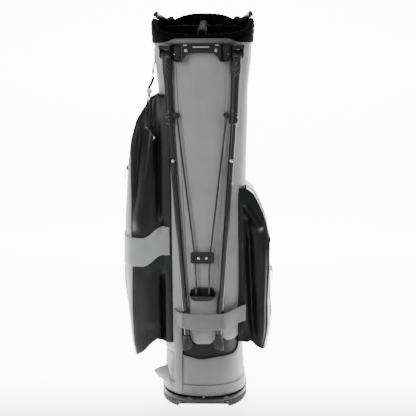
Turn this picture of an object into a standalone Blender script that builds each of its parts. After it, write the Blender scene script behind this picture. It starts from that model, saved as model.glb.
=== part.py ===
"""Golf stand bag, standing upright with its two legs folded against the front.

Metres, +Z up, +X towards the ball pocket, -Y towards the legs. The origin is the middle of the base's
resting face on the floor. Every sub-part is one closed solid in one named object.
"""

from math import acos, copysign, cos, pi, radians, sin, tan

import bmesh
import bpy
from mathutils import Matrix, Vector

GAP = 0.0003  # between pieces that touch

# Body: half width (X) and front and back reach (Y) at four heights, an oval between round and square
OVAL_POWER = 2.4
BOOT_BOTTOM_Z = 0.026
BOOT_TOP_Z = 0.120
WAIST_Z = 0.545
COLLAR_Z = 0.797
BOTTOM_HALF_X, BOTTOM_FRONT, BOTTOM_BACK = 0.0930, 0.1000, 0.0970
BOOT_HALF_X, BOOT_FRONT, BOOT_BACK = 0.0875, 0.0985, 0.0940
WAIST_HALF_X, WAIST_FRONT, WAIST_BACK = 0.0930, 0.1020, 0.0970
TOP_HALF_X, TOP_FRONT, TOP_BACK = 0.0980, 0.1000, 0.1000
SKIN = 0.0024  # leather and its backing

# Base and the front foot flap that the ground pushes up
BASE_HALF_X, BASE_FRONT, BASE_BACK = 0.0980, 0.1120, 0.1040
BASE_TOP_Z = 0.0255
BASE_WALL = 0.0028
FLOOR_THICKNESS = 0.0055
FLAP_HINGE_Y = -0.0110
FLAP_HINGE_Z = 0.0045
FLAP_ANGLE = radians(12)
FLAP_PLATE = 0.0040
FLAP_BARREL_RADIUS = 0.0040
FLAP_PIN_RADIUS = 0.0017
FLAP_TOP_Z = 0.0240
ARCH_HALF_X = 0.0570
ARCH_Z = 0.0120
ARCH_BACK_Y = -0.0860
EAR_X = 0.0620
EAR_WIDTH = 0.0080
TRAY_THICKNESS = 0.0030

# Panels
FRONT_BOTTOM_Z = 0.152
FRONT_BOTTOM_HALF_X = 0.028
FRONT_TOP_HALF_X = 0.055
SIDE_BOTTOM_Z = 0.157
RECESS_BOTTOM_Z, RECESS_TOP_Z = 0.100, 0.166
RECESS_LEFT_X, RECESS_RIGHT_X = -0.052, 0.080
RECESS_DEPTH = 0.0034
STRIP_LEFT_X, STRIP_RIGHT_X = -0.0625, -0.0465
STRIP_TOP_Z = 0.184
STAY_RADIUS = 0.0030
STAY_Y = 0.0300

# Top
COLLAR_HEIGHT = 0.0130
COLLAR_PROUD = 0.0045
COLLAR_WALL = 0.0060
PADDING_PROUD = 0.0090
PADDING_INSET = 0.0100
RIM_FRONT_RISE = 0.0210
RIM_SIDE_RISE = 0.0520
RIM_NOTCH_RISE = 0.0450
RIM_BACK_RISE = 0.0740
DIVIDER_RADIUS = 0.0060
DIVIDER_FRONT_RISE, DIVIDER_BACK_RISE = 0.0200, 0.0520
CROSS_BAR_Y = 0.0050
HANDLE_RADIUS = 0.0045
HANDLE_RISE = 0.0200
HANDLE_FRONT_ANGLE, HANDLE_BACK_ANGLE = radians(8), radians(50)

# Stand
PIVOT_X = 0.0720
PIVOT_DROP = 0.0200  # below the collar
PIVOT_STAND_OFF = 0.0200  # in front of the body
SPLAY = radians(30)  # turn of the pivot axes, so that the feet spread sideways
KNUCKLE_RADIUS = 0.0090
KNUCKLE_HALF = 0.0105
PIVOT_PIN_RADIUS = 0.0025
PIN_CLEARANCE = 0.0004
HEAD_LENGTH = 0.1450
TUBE_TOP_X = 0.0670
LEG_BOTTOM_X = 0.0345
LEG_BOTTOM_Z = 0.160
LEG_RADIUS = 0.0062
LEG_CLEARANCE = 0.0062
HEAD_CLEARANCE = 0.0098
FOOT_TOP_Z = 0.171
FOOT_BOTTOM_Z = 0.138
WINDOW_HEIGHT, WINDOW_WIDTH = 0.0640, 0.0050
TAB_INSET = 0.0155  # of the wire tab from the leg head's own line
TAB_RISE = 0.0190  # above the leg head's lower end
TAB_RADIUS = 0.0065
TAB_THICKNESS = 0.0050
TAB_CLEARANCE = 0.0020

# Yoke under the collar: drops are below its top
YOKE_THICKNESS = 0.0120
YOKE_INSET = 0.0175  # of its outer edge from the pivots
YOKE_LEG_X = 0.0420
YOKE_LEG_DROP = 0.0360
YOKE_BRIDGE_DROP = 0.0175
YOKE_SCREW_X = 0.0310

# Wires, clamp and push rod
WIRE_RADIUS = 0.0020
WIRE_CLEARANCE = 0.0030  # in front of the leg's tab, which leans as the leg swings
CLAMP_Z = 0.3460
CLAMP_HALF_X = 0.0256
CLAMP_HEIGHT = 0.0240
CLAMP_DEPTH = 0.0080
CLAMP_STAND_OFF = 0.0110
CLAMP_TOP_X, CLAMP_BOTTOM_X, RING_X = 0.0178, 0.0156, 0.0134
RIVET_X = 0.0085
RIVET_RADIUS = 0.0026
RIVET_HEAD = 0.0014
RING_Z = 0.2640
RING_HALF_X, RING_HALF_Z = 0.0287, 0.0140
RING_WALL = 0.0025
RING_LIP_DROP = 0.0020  # of the lip's edge below the ring's middle
RING_LIP_DEPTH = 0.0030
RING_TOP_PROUD = 0.0050
ROD_INSIDE_Y_INSET = 0.0100  # of the push rod behind the body's front
PUSH_ROD_RADIUS = 0.0025

# Left apparel pocket and right ball pocket: (share of the pocket's height, outer reach in X)
LEFT_LOW_Z, LEFT_TOP_DROP = 0.1090, 0.1070  # the drop is below the collar's lower edge
LEFT_PROFILE = [
    (0, 0.1500), (0.0706, 0.1650), (0.1738, 0.1720), (0.3408, 0.1770), (0.5009, 0.1745),
    (0.747, 0.1650), (0.8451, 0.1560), (0.9139, 0.1420), (0.9621, 0.1230), (1, 0.1080),
]
RIGHT_LOW_Z, RIGHT_TOP_Z = 0.1110, 0.4780
RIGHT_PROFILE = [
    (0, 0.1360), (0.1063, 0.1440), (0.2698, 0.1480), (0.5559, 0.1490),
    (0.7057, 0.1440), (0.842, 0.1310), (0.9373, 0.1140), (1, 0.1020),
]
LEFT_POCKET_X, RIGHT_POCKET_X = 0.0670, 0.0760  # where the gussets are sewn to the body
POCKET_BACK_X = 0.0600
POCKET_BOTTOM_RISE = 0.0320  # of the bottom from its outer edge to the body
POCKET_CORNER_Y = 0.0620
POCKET_CORNER_SHARE = 0.74
POCKET_CLEARANCE = 0.0014
POCKET_WALL = 0.0030
ZIP_WIDTH = 0.0120
ZIP_THICKNESS = 0.0014
ZIP_CLEARANCE = 0.0010
SLOT_WIDTH = 0.0060
LEFT_ZIP = (0.5267, 0.7332)  # shares of the pocket's height, on one straight run of its profile
RIGHT_ZIP = (0.2153, 0.5286)
LEFT_ZIP_Y, RIGHT_ZIP_Y = -0.0180, -0.0180
SLIDER_LENGTH, SLIDER_WIDTH, SLIDER_THICKNESS = 0.0110, 0.0085, 0.0034
PULLER_LENGTH, PULLER_WIDTH, PULLER_THICKNESS = 0.0260, 0.0060, 0.0016

# Soft fittings
BAND_THICKNESS = 0.0018
BAND_CLEARANCE = 0.0014
BAND_DROP = 0.0990  # of its lower edge on the outer side, below the apparel zip
BAND_INNER_RISE = 0.0280  # of its lower edge at the body seam, over the outer side's
BAND_BEND = 0.42  # share of the band's length where its slope ends
BAND_INNER_HEIGHT, BAND_OUTER_HEIGHT = 0.0630, 0.0680
BAND_SEAM_INSET = 0.0060
SLEEVE_DROP = 0.0070  # below the band
SLEEVE_LENGTH = 0.0940
SLEEVE_HALF_WIDTH = 0.0160
SLEEVE_THICKNESS, SLEEVE_CLEARANCE = 0.0014, 0.0012
SLEEVE_BULGE = 0.0040
STRAP_WIDTH = 0.0360
STRAP_THICKNESS = 0.0020
STRAP_START_X, STRAP_END_X = -0.0655, 0.0940
STRAP_Z_LEFT, STRAP_Z_MIDDLE, STRAP_Z_RIGHT = 0.2075, 0.2030, 0.2125
STRAP_OVER_LEG = 0.0016
GRAB_REACH = 0.0230
GRAB_WIDTH, GRAB_THICKNESS = 0.0160, 0.0020
CORD_RADIUS = 0.0012
CORD_SPACING = 0.0032
BEAD_RADIUS = 0.0062
KNOT_RADIUS = 0.0050
RING_WIRE = 0.0015
CORD_RING_RADIUS = 0.0068
CORD_TAB_DROP = 0.0340  # below the collar's lower edge
CORD_TAB_ANGLE = radians(14)  # in front of the bag's left side
STRAP_RING_RADIUS = 0.0095
STRAP_RING_DROP = 0.0300
STRAP_RING_ANGLE = radians(22)
PAD_CLEARANCE = 0.0016
PAD_THICKNESS = 0.0044
SHOULDER_LOW_Z = 0.5200
SHOULDER_RIGHT_DROP, SHOULDER_LEFT_DROP = 0.0460, 0.0300
SHOULDER_WAVE = 0.0022
HIP_LOW_Z, HIP_HIGH_Z = 0.3300, 0.5000
HIP_CROWN = 0.0120

FINISHES = {
    "grey_leather": ((0.296, 0.296, 0.296), 0.55, 0.0),
    "dark_leather": ((0.012, 0.013, 0.014), 0.38, 0.0),
    "black_plush": ((0.006, 0.006, 0.006), 0.95, 0.0),
    "black_plastic": ((0.012, 0.012, 0.012), 0.42, 0.0),
    "painted_tube": ((0.010, 0.010, 0.010), 0.30, 0.6),
    "bright_steel": ((0.60, 0.60, 0.60), 0.25, 1.0),
    "foot_rubber": ((0.035, 0.035, 0.035), 0.75, 0.0),
    "zip_metal": ((0.05, 0.05, 0.05), 0.35, 1.0),
    "black_mesh": ((0.010, 0.010, 0.010), 0.90, 0.0),
    "white_bead": ((0.72, 0.72, 0.70), 0.35, 0.2),
    "black_cord": ((0.010, 0.010, 0.010), 0.85, 0.0),
}
for old in list(bpy.data.objects):
    bpy.data.objects.remove(old)
materials = {}
for finish, (colour, roughness, metallic) in FINISHES.items():
    materials[finish] = bpy.data.materials.new(finish)
    materials[finish].use_nodes = True
    shader = materials[finish].node_tree.nodes["Principled BSDF"]
    shader.inputs["Base Color"].default_value = (*colour, 1)
    shader.inputs["Roughness"].default_value = roughness
    shader.inputs["Metallic"].default_value = metallic


# ---- modelling helpers -------------------------------------------------------------------------

def lerp(a, b, share):
    return a + (b - a) * share


def along(stations, z):
    """The value at z on the straight runs between (z, value) stations."""
    for (z0, a), (z1, b) in zip(stations, stations[1:]):
        if z <= z1:
            return lerp(a, b, max(0.0, (z - z0) / (z1 - z0)))
    return stations[-1][1]


def add_object(name, bm, finish):
    bmesh.ops.recalc_face_normals(bm, faces=bm.faces)
    mesh = bpy.data.meshes.new(name)
    bm.to_mesh(mesh)
    bm.free()
    mesh.materials.append(materials[finish])
    mesh.shade_smooth()
    mesh.set_sharp_from_angle(angle=radians(35))
    obj = bpy.data.objects.new(name, mesh)
    bpy.context.collection.objects.link(obj)
    return obj


def loft(name, finish, rings):
    """A closed solid through rings of equally many points, with flat ends."""
    bm = bmesh.new()
    loops = [[bm.verts.new(point) for point in ring] for ring in rings]
    count = len(rings[0])
    for low, high in zip(loops, loops[1:]):
        for i in range(count):
            j = (i + 1) % count
            bm.faces.new([low[i], low[j], high[j], high[i]])
    bm.faces.new(loops[0])
    bm.faces.new(loops[-1])
    return add_object(name, bm, finish)


def sheet(name, finish, outer, inner, columns, rows, closed=False):
    """A sheet with thickness between two surfaces, each a function of (u, v) from 0 to 1."""
    bm = bmesh.new()
    spots = columns if closed else columns + 1
    sides = [
        [[bm.verts.new(surface(i / columns, j / rows)) for i in range(spots)] for j in range(rows + 1)]
        for surface in (outer, inner)
    ]
    for side in sides:
        for j in range(rows):
            for i in range(columns):
                k = (i + 1) % spots
                bm.faces.new([side[j][i], side[j][k], side[j + 1][k], side[j + 1][i]])
    front, back = sides
    for j in (0, rows):
        for i in range(columns):
            k = (i + 1) % spots
            bm.faces.new([front[j][i], front[j][k], back[j][k], back[j][i]])
    if not closed:
        for i in (0, columns):
            for j in range(rows):
                bm.faces.new([front[j][i], front[j + 1][i], back[j + 1][i], back[j][i]])
    return add_object(name, bm, finish)


def rod(name, finish, start, end, radius, segments=12):
    start, end = Vector(start), Vector(end)
    bm = bmesh.new()
    bmesh.ops.create_cone(bm, cap_ends=True, segments=segments, radius1=radius, radius2=radius,
                          depth=(end - start).length)
    turn = Vector((0, 0, 1)).rotation_difference(end - start).to_matrix().to_4x4()
    bmesh.ops.transform(bm, matrix=Matrix.Translation((start + end) / 2) @ turn, verts=bm.verts)
    return add_object(name, bm, finish)


def box(name, finish, low, high, frame=None):
    """A box from its low to its high corner, in the frame given or the world's."""
    low, high = Vector(low), Vector(high)
    bm = bmesh.new()
    bmesh.ops.create_cube(bm, size=1)
    bmesh.ops.scale(bm, vec=high - low, verts=bm.verts)
    place = Matrix.Translation((low + high) / 2)
    bmesh.ops.transform(bm, matrix=(frame or Matrix()) @ place, verts=bm.verts)
    return add_object(name, bm, finish)


def ball(name, finish, centre, radius, stretch=(1, 1, 1), detail=(12, 8)):
    bm = bmesh.new()
    bmesh.ops.create_uvsphere(bm, u_segments=detail[0], v_segments=detail[1], radius=radius)
    bmesh.ops.scale(bm, vec=stretch, verts=bm.verts)
    bmesh.ops.translate(bm, vec=centre, verts=bm.verts)
    return add_object(name, bm, finish)


def tube(name, finish, points, radius, resolution=2, cyclic=False):
    curve = bpy.data.curves.new(name, "CURVE")
    curve.dimensions = "3D"
    curve.bevel_depth = radius
    curve.bevel_resolution = resolution
    curve.use_fill_caps = not cyclic
    spline = curve.splines.new("POLY")
    spline.points.add(len(points) - 1)
    for spot, point in zip(spline.points, points):
        spot.co = (*point, 1)
    spline.use_cyclic_u = cyclic
    curve.materials.append(materials[finish])
    obj = bpy.data.objects.new(name, curve)
    bpy.context.collection.objects.link(obj)
    return obj


def smooth_route(points, steps):
    """Points on a smooth curve through the route's own points (Catmull-Rom)."""
    points = [Vector(p) for p in points]
    padded = [2 * points[0] - points[1], *points, 2 * points[-1] - points[-2]]
    route = []
    for a, b, c, d in zip(padded, padded[1:], padded[2:], padded[3:]):
        for k in range(steps):
            t = k / steps
            route.append(0.5 * (2 * b + (c - a) * t + (2 * a - 5 * b + 4 * c - d) * t * t
                                + (3 * b - a - 3 * c + d) * t * t * t))
    return route + [points[-1]]


def combine(obj, operation, *others):
    """Boolean modifiers; the other objects stay as hidden guides."""
    for other in others:
        other.hide_render = True
        other.display_type = "WIRE"
        step = obj.modifiers.new(operation.lower(), "BOOLEAN")
        step.operation = operation
        step.solver = "EXACT"
        step.object = other
    return obj


# ---- the oval body -----------------------------------------------------------------------------

SIZES = [
    (BOOT_BOTTOM_Z, Vector((BOTTOM_HALF_X, BOTTOM_FRONT, BOTTOM_BACK))),
    (BOOT_TOP_Z, Vector((BOOT_HALF_X, BOOT_FRONT, BOOT_BACK))),
    (WAIST_Z, Vector((WAIST_HALF_X, WAIST_FRONT, WAIST_BACK))),
    (COLLAR_Z, Vector((TOP_HALF_X, TOP_FRONT, TOP_BACK))),
]


def oval(angle, half_x, front, back, z):
    """A point on the oval: angle 0 is +X, 90 degrees is the back."""
    c, s = cos(angle), sin(angle)
    x = half_x * copysign(abs(c) ** (2 / OVAL_POWER), c)
    y = (back if s > 0 else front) * copysign(abs(s) ** (2 / OVAL_POWER), s)
    return Vector((x, y, z))


def body(angle, z, out=0.0):
    half_x, front, back = along(SIZES, z)
    return oval(angle, half_x + out, front + out, back + out, z)


def front_angle(x, z):
    """The angle, on the front half, where the body reaches this x."""
    share = min(1.0, abs(x) / along(SIZES, z)[0])
    return -acos(copysign(share ** (OVAL_POWER / 2), x))


def front_y(x, z, out=0.0):
    return body(front_angle(x, z), z, out).y


def base_oval(angle, z, inset=0.0):
    return oval(angle, BASE_HALF_X - inset, BASE_FRONT - inset, BASE_BACK - inset, z)


TURN = 2 * pi
ROUND = 48


def oval_block(name, inset, low, high):
    rings = [[base_oval(TURN * i / ROUND, z, inset) for i in range(ROUND)] for z in (low, high)]
    return loft(name, "black_plastic", rings)


# ---- base --------------------------------------------------------------------------------------

FAR = 0.2  # beyond anything on the bag


def build_base():
    shell = oval_block("base_shell", 0, 0, BASE_TOP_Z)
    hollow = oval_block("base_hollow", BASE_WALL, FLOOR_THICKNESS, BASE_TOP_Z + FAR)
    front_edge = FLAP_HINGE_Y + FLAP_BARREL_RADIUS + 0.0007
    front_space = box("base_front_space", "black_plastic", (-FAR, -FAR, -FAR), (FAR, front_edge, FAR))
    ears = []
    for side in (-1, 1):
        low, high = sorted((side * EAR_X, side * (EAR_X + EAR_WIDTH)))
        ears.append(box("base_ear", "black_plastic", (low, FLAP_HINGE_Y - FLAP_BARREL_RADIUS, 0.0006),
                        (high, front_edge + 0.004, FLAP_HINGE_Z + FLAP_BARREL_RADIUS)))
    tray = build_tray()
    pin_hole = rod("base_pin_hole", "black_plastic", (-FAR, FLAP_HINGE_Y, FLAP_HINGE_Z),
                   (FAR, FLAP_HINGE_Y, FLAP_HINGE_Z), FLAP_PIN_RADIUS + GAP)
    combine(shell, "DIFFERENCE", hollow, front_space)
    combine(shell, "UNION", *ears, tray)
    combine(shell, "DIFFERENCE", pin_hole)


def build_tray():
    """The sloping inner floor over the flap, which the boot is sewn round."""
    rear_y = FLAP_HINGE_Y + 0.012
    low_z = FLAP_HINGE_Z + FLAP_BARREL_RADIUS + 0.0008
    slope = tan(FLAP_ANGLE)
    columns = 28
    rings = []
    for lift in (0, TRAY_THICKNESS):
        ring = []
        for i in range(columns + 1):
            point = body(pi + pi * i / columns, BOOT_BOTTOM_Z, -SKIN - 0.0006)
            point.y = min(point.y, FLAP_HINGE_Y)
            point.z = low_z + slope * (FLAP_HINGE_Y - point.y) + lift
            ring.append(point)
        right, left = ring[-1], ring[0]
        ring += [Vector((right.x, rear_y, low_z + lift)), Vector((left.x, rear_y, low_z + lift))]
        rings.append(ring)
    bm = bmesh.new()
    low, high = ([bm.verts.new(p) for p in ring] for ring in rings)
    for i in range(len(low)):
        j = (i + 1) % len(low)
        bm.faces.new([low[i], low[j], high[j], high[i]])
    for loop in (low, high):
        # strips across X, because the outline bends at the hinge line
        half = columns // 2
        for i in range(half):
            bm.faces.new([loop[i], loop[i + 1], loop[columns - i - 1], loop[columns - i]]
                         if i < half - 1 else [loop[i], loop[i + 1], loop[columns - i]])
        bm.faces.new([loop[0], loop[columns], loop[columns + 1], loop[columns + 2]])
    tray = add_object("base_tray", bm, "black_plastic")
    # a wall behind the sloping floor, down to the flat one
    rear = box("base_tray_rear", "black_plastic",
               (-EAR_X + 0.004, rear_y - 0.004, FLOOR_THICKNESS - 0.001),
               (EAR_X - 0.004, rear_y, low_z + TRAY_THICKNESS * 0.5))
    hole_y = push_rod_y()
    hole = rod("base_rod_hole", "black_plastic", (0, hole_y, 0), (0, hole_y, 0.06), PUSH_ROD_RADIUS + 0.0015)
    return combine(combine(tray, "UNION", rear), "DIFFERENCE", hole)


def build_flap():
    flap = oval_block("foot_flap", 0, 0, FLAP_TOP_Z)
    hollow = oval_block("flap_hollow", BASE_WALL, FLAP_PLATE, FLAP_TOP_Z + FAR)
    lean = Matrix.Translation((0, FLAP_HINGE_Y - 0.0006, 0)) @ Matrix.Rotation(FLAP_ANGLE * 1.1, 4, "X")
    rear = box("flap_rear_space", "black_plastic", (-FAR, 0, -FAR), (FAR, FAR * 2, FAR), lean)
    arch = box("flap_arch", "black_plastic", (-ARCH_HALF_X, -FAR, -FAR), (ARCH_HALF_X, ARCH_BACK_Y, ARCH_Z))
    ear_spaces = []
    for side in (-1, 1):
        low, high = sorted((side * (EAR_X - 0.0005), side * (EAR_X + EAR_WIDTH + 0.0008)))
        ear_spaces.append(box("flap_ear_space", "black_plastic", (low, FLAP_HINGE_Y - 0.0065, -FAR),
                              (high, FAR, FAR)))
    reach = EAR_X - 0.0005
    barrel = rod("flap_barrel", "black_plastic", (-reach, FLAP_HINGE_Y, FLAP_HINGE_Z),
                 (reach, FLAP_HINGE_Y, FLAP_HINGE_Z), FLAP_BARREL_RADIUS)
    bore = rod("flap_bore", "black_plastic", (-FAR, FLAP_HINGE_Y, FLAP_HINGE_Z),
               (FAR, FLAP_HINGE_Y, FLAP_HINGE_Z), FLAP_PIN_RADIUS + GAP)
    combine(flap, "DIFFERENCE", hollow, rear, arch, *ear_spaces)
    combine(flap, "UNION", barrel)
    combine(flap, "DIFFERENCE", bore)
    reach = EAR_X + EAR_WIDTH
    rod("flap_hinge_pin", "bright_steel", (-reach, FLAP_HINGE_Y, FLAP_HINGE_Z),
        (reach, FLAP_HINGE_Y, FLAP_HINGE_Z), FLAP_PIN_RADIUS)


# ---- body panels -------------------------------------------------------------------------------

def boot_top(angle):
    """The boot's wavy top: low in front, where the legs' feet show, and high elsewhere."""
    front = max(0.0, cos(angle + pi / 2))
    return BOOT_TOP_Z - GAP - 0.007 * front ** 4


def build_boot():
    def surface(out):
        return lambda u, v: body(TURN * u, lerp(BOOT_BOTTOM_Z + GAP, boot_top(TURN * u), v), out)
    sheet("lower_boot", "grey_leather", surface(0), surface(-SKIN), ROUND, 2, closed=True)


def panel(name, finish, edges, bottom, top, columns, rows, out=0.0, thickness=SKIN):
    """A body panel between two edge angles, each a function of height. A row lies at the waist, if it is inside."""
    waist = WAIST_Z if bottom < WAIST_Z < top else lerp(bottom, top, 0.5)

    def surface(offset):
        def point(u, v):
            z = lerp(bottom, waist, v * 2) if v < 0.5 else lerp(waist, top, v * 2 - 1)
            start, end = edges(z)
            return body(lerp(start, end, u), z, offset)
        return point
    return sheet(name, finish, surface(out), surface(out - thickness), columns, rows)


def front_half_x(z):
    return lerp(FRONT_BOTTOM_HALF_X, FRONT_TOP_HALF_X,
                (z - FRONT_BOTTOM_Z) / (COLLAR_Z - FRONT_BOTTOM_Z))


def build_panels():
    seam = 0.004  # half the angle left between two panels
    back_start, back_end = radians(55), radians(125)
    top = COLLAR_Z - GAP
    front = panel("front_panel", "grey_leather",
                  lambda z: (front_angle(-front_half_x(z), z) + seam, front_angle(front_half_x(z), z) - seam),
                  FRONT_BOTTOM_Z, top, 10, 8)
    slot_x, slot_z = RING_HALF_X - 0.0060, RING_HALF_Z - RING_WALL - 0.0006
    slot = box("front_slot", "grey_leather", (-slot_x, -FAR, RING_Z - slot_z), (slot_x, 0, RING_Z + slot_z))
    combine(front, "DIFFERENCE", slot)
    panel("right_panel", "grey_leather",
          lambda z: (front_angle(front_half_x(z), z) + seam, back_start - seam), SIDE_BOTTOM_Z, top, 14, 8)
    panel("left_panel", "grey_leather",
          lambda z: (back_end + seam - TURN, front_angle(-front_half_x(z), z) - seam), BOOT_TOP_Z, top, 14, 8)
    panel("back_panel", "grey_leather", lambda z: (back_start, back_end), BOOT_TOP_Z, top, 8, 8)
    panel("recess_panel", "dark_leather",
          lambda z: (front_angle(RECESS_LEFT_X, z), front_angle(RECESS_RIGHT_X, z)),
          RECESS_BOTTOM_Z, RECESS_TOP_Z, 16, 2, -RECESS_DEPTH, 0.0015)
    panel("binding_strip", "grey_leather",
          lambda z: (front_angle(STRIP_LEFT_X, z), front_angle(STRIP_RIGHT_X, z)),
          BOOT_BOTTOM_Z + 0.002, STRIP_TOP_Z, 3, 6, 0.0022, 0.0014)


def build_stays():
    for side, name in ((-1, "stay_left"), (1, "stay_right")):
        x = side * (BOOT_HALF_X - 0.010)
        rod(name, "painted_tube", (x, STAY_Y, FLOOR_THICKNESS + GAP), (x, STAY_Y, COLLAR_Z - GAP),
            STAY_RADIUS, 8)


# ---- top ---------------------------------------------------------------------------------------

def rim_rise(angle):
    """Height of the padded rim over the collar's lower edge, round the mouth."""
    turned = acos(max(-1.0, min(1.0, sin(angle))))  # 0 at the back, pi at the front
    stations = [(0.0, RIM_BACK_RISE), (radians(20), RIM_BACK_RISE - 0.006),
                (radians(45), RIM_NOTCH_RISE), (radians(62), RIM_NOTCH_RISE - 0.001),
                (radians(88), RIM_SIDE_RISE), (radians(120), RIM_FRONT_RISE + 0.014),
                (radians(150), RIM_FRONT_RISE + 0.003), (pi, RIM_FRONT_RISE)]
    return along(stations, turned)


def collar_ring(out, low, high):
    return lambda u, v: body(TURN * u, COLLAR_Z, out) + Vector((0, 0, lerp(low, high, v)))


def build_top():
    sheet("top_collar", "black_plastic", collar_ring(COLLAR_PROUD, 0, COLLAR_HEIGHT),
          collar_ring(COLLAR_PROUD - COLLAR_WALL, 0, COLLAR_HEIGHT), ROUND, 1, closed=True)

    def padding(out, shrink):
        def point(u, v):
            rise = lerp(COLLAR_HEIGHT + GAP, rim_rise(TURN * u) - (shrink if v == 1 else 0), v)
            return body(TURN * u, COLLAR_Z, out) + Vector((0, 0, rise))
        return point
    sheet("collar_padding", "black_plush", padding(PADDING_PROUD, 0.0), padding(-PADDING_INSET, 0.002),
          ROUND, 2, closed=True)

    def bar_z(y):
        share = (y + TOP_FRONT) / (TOP_FRONT + TOP_BACK)
        return COLLAR_Z + lerp(DIVIDER_FRONT_RISE, DIVIDER_BACK_RISE, share)
    clear = 0.0030
    start, end = -TOP_FRONT + PADDING_INSET + clear, TOP_BACK - PADDING_INSET - clear
    middle = rod("divider_frame", "black_plush", (0, start, bar_z(start)), (0, end, bar_z(end)),
                 DIVIDER_RADIUS, 10)
    reach = TOP_HALF_X - PADDING_INSET - clear
    z = bar_z(CROSS_BAR_Y)
    cross = rod("divider_cross", "black_plush", (-reach, CROSS_BAR_Y, z), (reach, CROSS_BAR_Y, z),
                DIVIDER_RADIUS * 0.98, 10)
    combine(middle, "UNION", cross)
    for side, name in ((-1, "side_handle_left"), (1, "side_handle_right")):
        points = []
        steps = 10
        for i in range(steps + 1):
            share = i / steps
            angle = lerp(HANDLE_FRONT_ANGLE, HANDLE_BACK_ANGLE, 0.5 - 0.5 * cos(pi * share))
            spot = body(angle, COLLAR_Z, 0.0)
            foot = rim_rise(angle) + 0.0010
            rise = HANDLE_RISE * sin(pi * share) ** 0.5
            points.append(Vector((side * spot.x, spot.y, COLLAR_Z + foot + rise)))
        tube(name, "dark_leather", points, HANDLE_RADIUS)


# ---- stand -------------------------------------------------------------------------------------

def pivot_point(side):
    z = COLLAR_Z - PIVOT_DROP
    return Vector((side * PIVOT_X, front_y(PIVOT_X, z) - PIVOT_STAND_OFF, z))


def pivot_frame(side):
    """A frame at the leg's pivot with X along its axis, outwards."""
    outward = Vector((side * cos(SPLAY), sin(SPLAY), 0))
    forward = Vector((side * sin(SPLAY), -cos(SPLAY), 0))
    frame = Matrix((outward, forward, Vector((0, 0, 1)))).transposed().to_4x4()
    frame.translation = pivot_point(side)
    return frame


def head_bottom(side):
    z = COLLAR_Z - PIVOT_DROP - HEAD_LENGTH
    return Vector((side * TUBE_TOP_X, front_y(TUBE_TOP_X, z) - LEG_RADIUS - HEAD_CLEARANCE, z))


def leg_bottom(side):
    y = front_y(LEG_BOTTOM_X, LEG_BOTTOM_Z) - LEG_RADIUS - LEG_CLEARANCE
    return Vector((side * LEG_BOTTOM_X, y, LEG_BOTTOM_Z))


def tab_point(side):
    low, top = head_bottom(side), pivot_point(side)
    spot = low.lerp(top, TAB_RISE / HEAD_LENGTH)
    reach = abs(spot.x) - TAB_INSET
    behind = front_y(reach - TAB_RADIUS, spot.z + TAB_RADIUS) - TAB_CLEARANCE - TAB_THICKNESS / 2
    return Vector((side * reach, min(spot.y, behind), spot.z))


def clamp_y():
    return front_y(0, CLAMP_Z) - CLAMP_STAND_OFF


def wire_top(side):
    tab = tab_point(side)
    return Vector((tab.x, tab.y - TAB_THICKNESS / 2 - WIRE_CLEARANCE - WIRE_RADIUS, tab.z))


def push_rod_y():
    return front_y(0, RECESS_TOP_Z) + ROD_INSIDE_Y_INSET


def leg_head(side, name):
    frame = pivot_frame(side)
    low, top = head_bottom(side), pivot_point(side)
    sections = [  # distance down from the pivot, half width, half depth
        (0.004, 0.0095, 0.0070), (0.030, 0.0098, 0.0076), (0.050, 0.0086, 0.0072),
        (0.118, 0.0072, 0.0066), (0.121, 0.0085, 0.0078), (HEAD_LENGTH, 0.0085, 0.0078),
    ]
    rings = []
    for drop, half_x, half_y in sections:
        centre = top.lerp(low, drop / HEAD_LENGTH)
        rings.append([centre + Vector((half_x * cos(TURN * i / 12), half_y * sin(TURN * i / 12), 0))
                      for i in range(12)])
    head = loft(name, "black_plastic", rings)
    knuckle = rod("head_knuckle", "black_plastic", frame @ Vector((-KNUCKLE_HALF, 0, 0)),
                  frame @ Vector((KNUCKLE_HALF, 0, 0)), KNUCKLE_RADIUS, 16)
    tab = tab_point(side)
    half = TAB_THICKNESS / 2
    disc = rod("head_tab", "black_plastic", tab - Vector((0, half, 0)), tab + Vector((0, half, 0)),
               TAB_RADIUS)
    inner, outer = sorted((tab.x, tab.x + side * TAB_INSET))
    arm = box("head_tab_arm", "black_plastic", (inner, tab.y - half * 0.8, tab.z - 0.004),
              (outer, tab.y + half * 0.8, tab.z + 0.004))
    middle = top.lerp(low, 0.084 / HEAD_LENGTH)
    window = box("head_window", "black_plastic",
                 middle - Vector((WINDOW_WIDTH / 2, 0.02, WINDOW_HEIGHT / 2)),
                 middle + Vector((WINDOW_WIDTH / 2, 0.02, WINDOW_HEIGHT / 2)))
    bore = rod("head_bore", "black_plastic", frame @ Vector((-0.03, 0, 0)), frame @ Vector((0.03, 0, 0)),
               PIVOT_PIN_RADIUS + PIN_CLEARANCE)
    combine(head, "UNION", knuckle, disc, arm)
    combine(head, "DIFFERENCE", window, bore)


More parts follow.
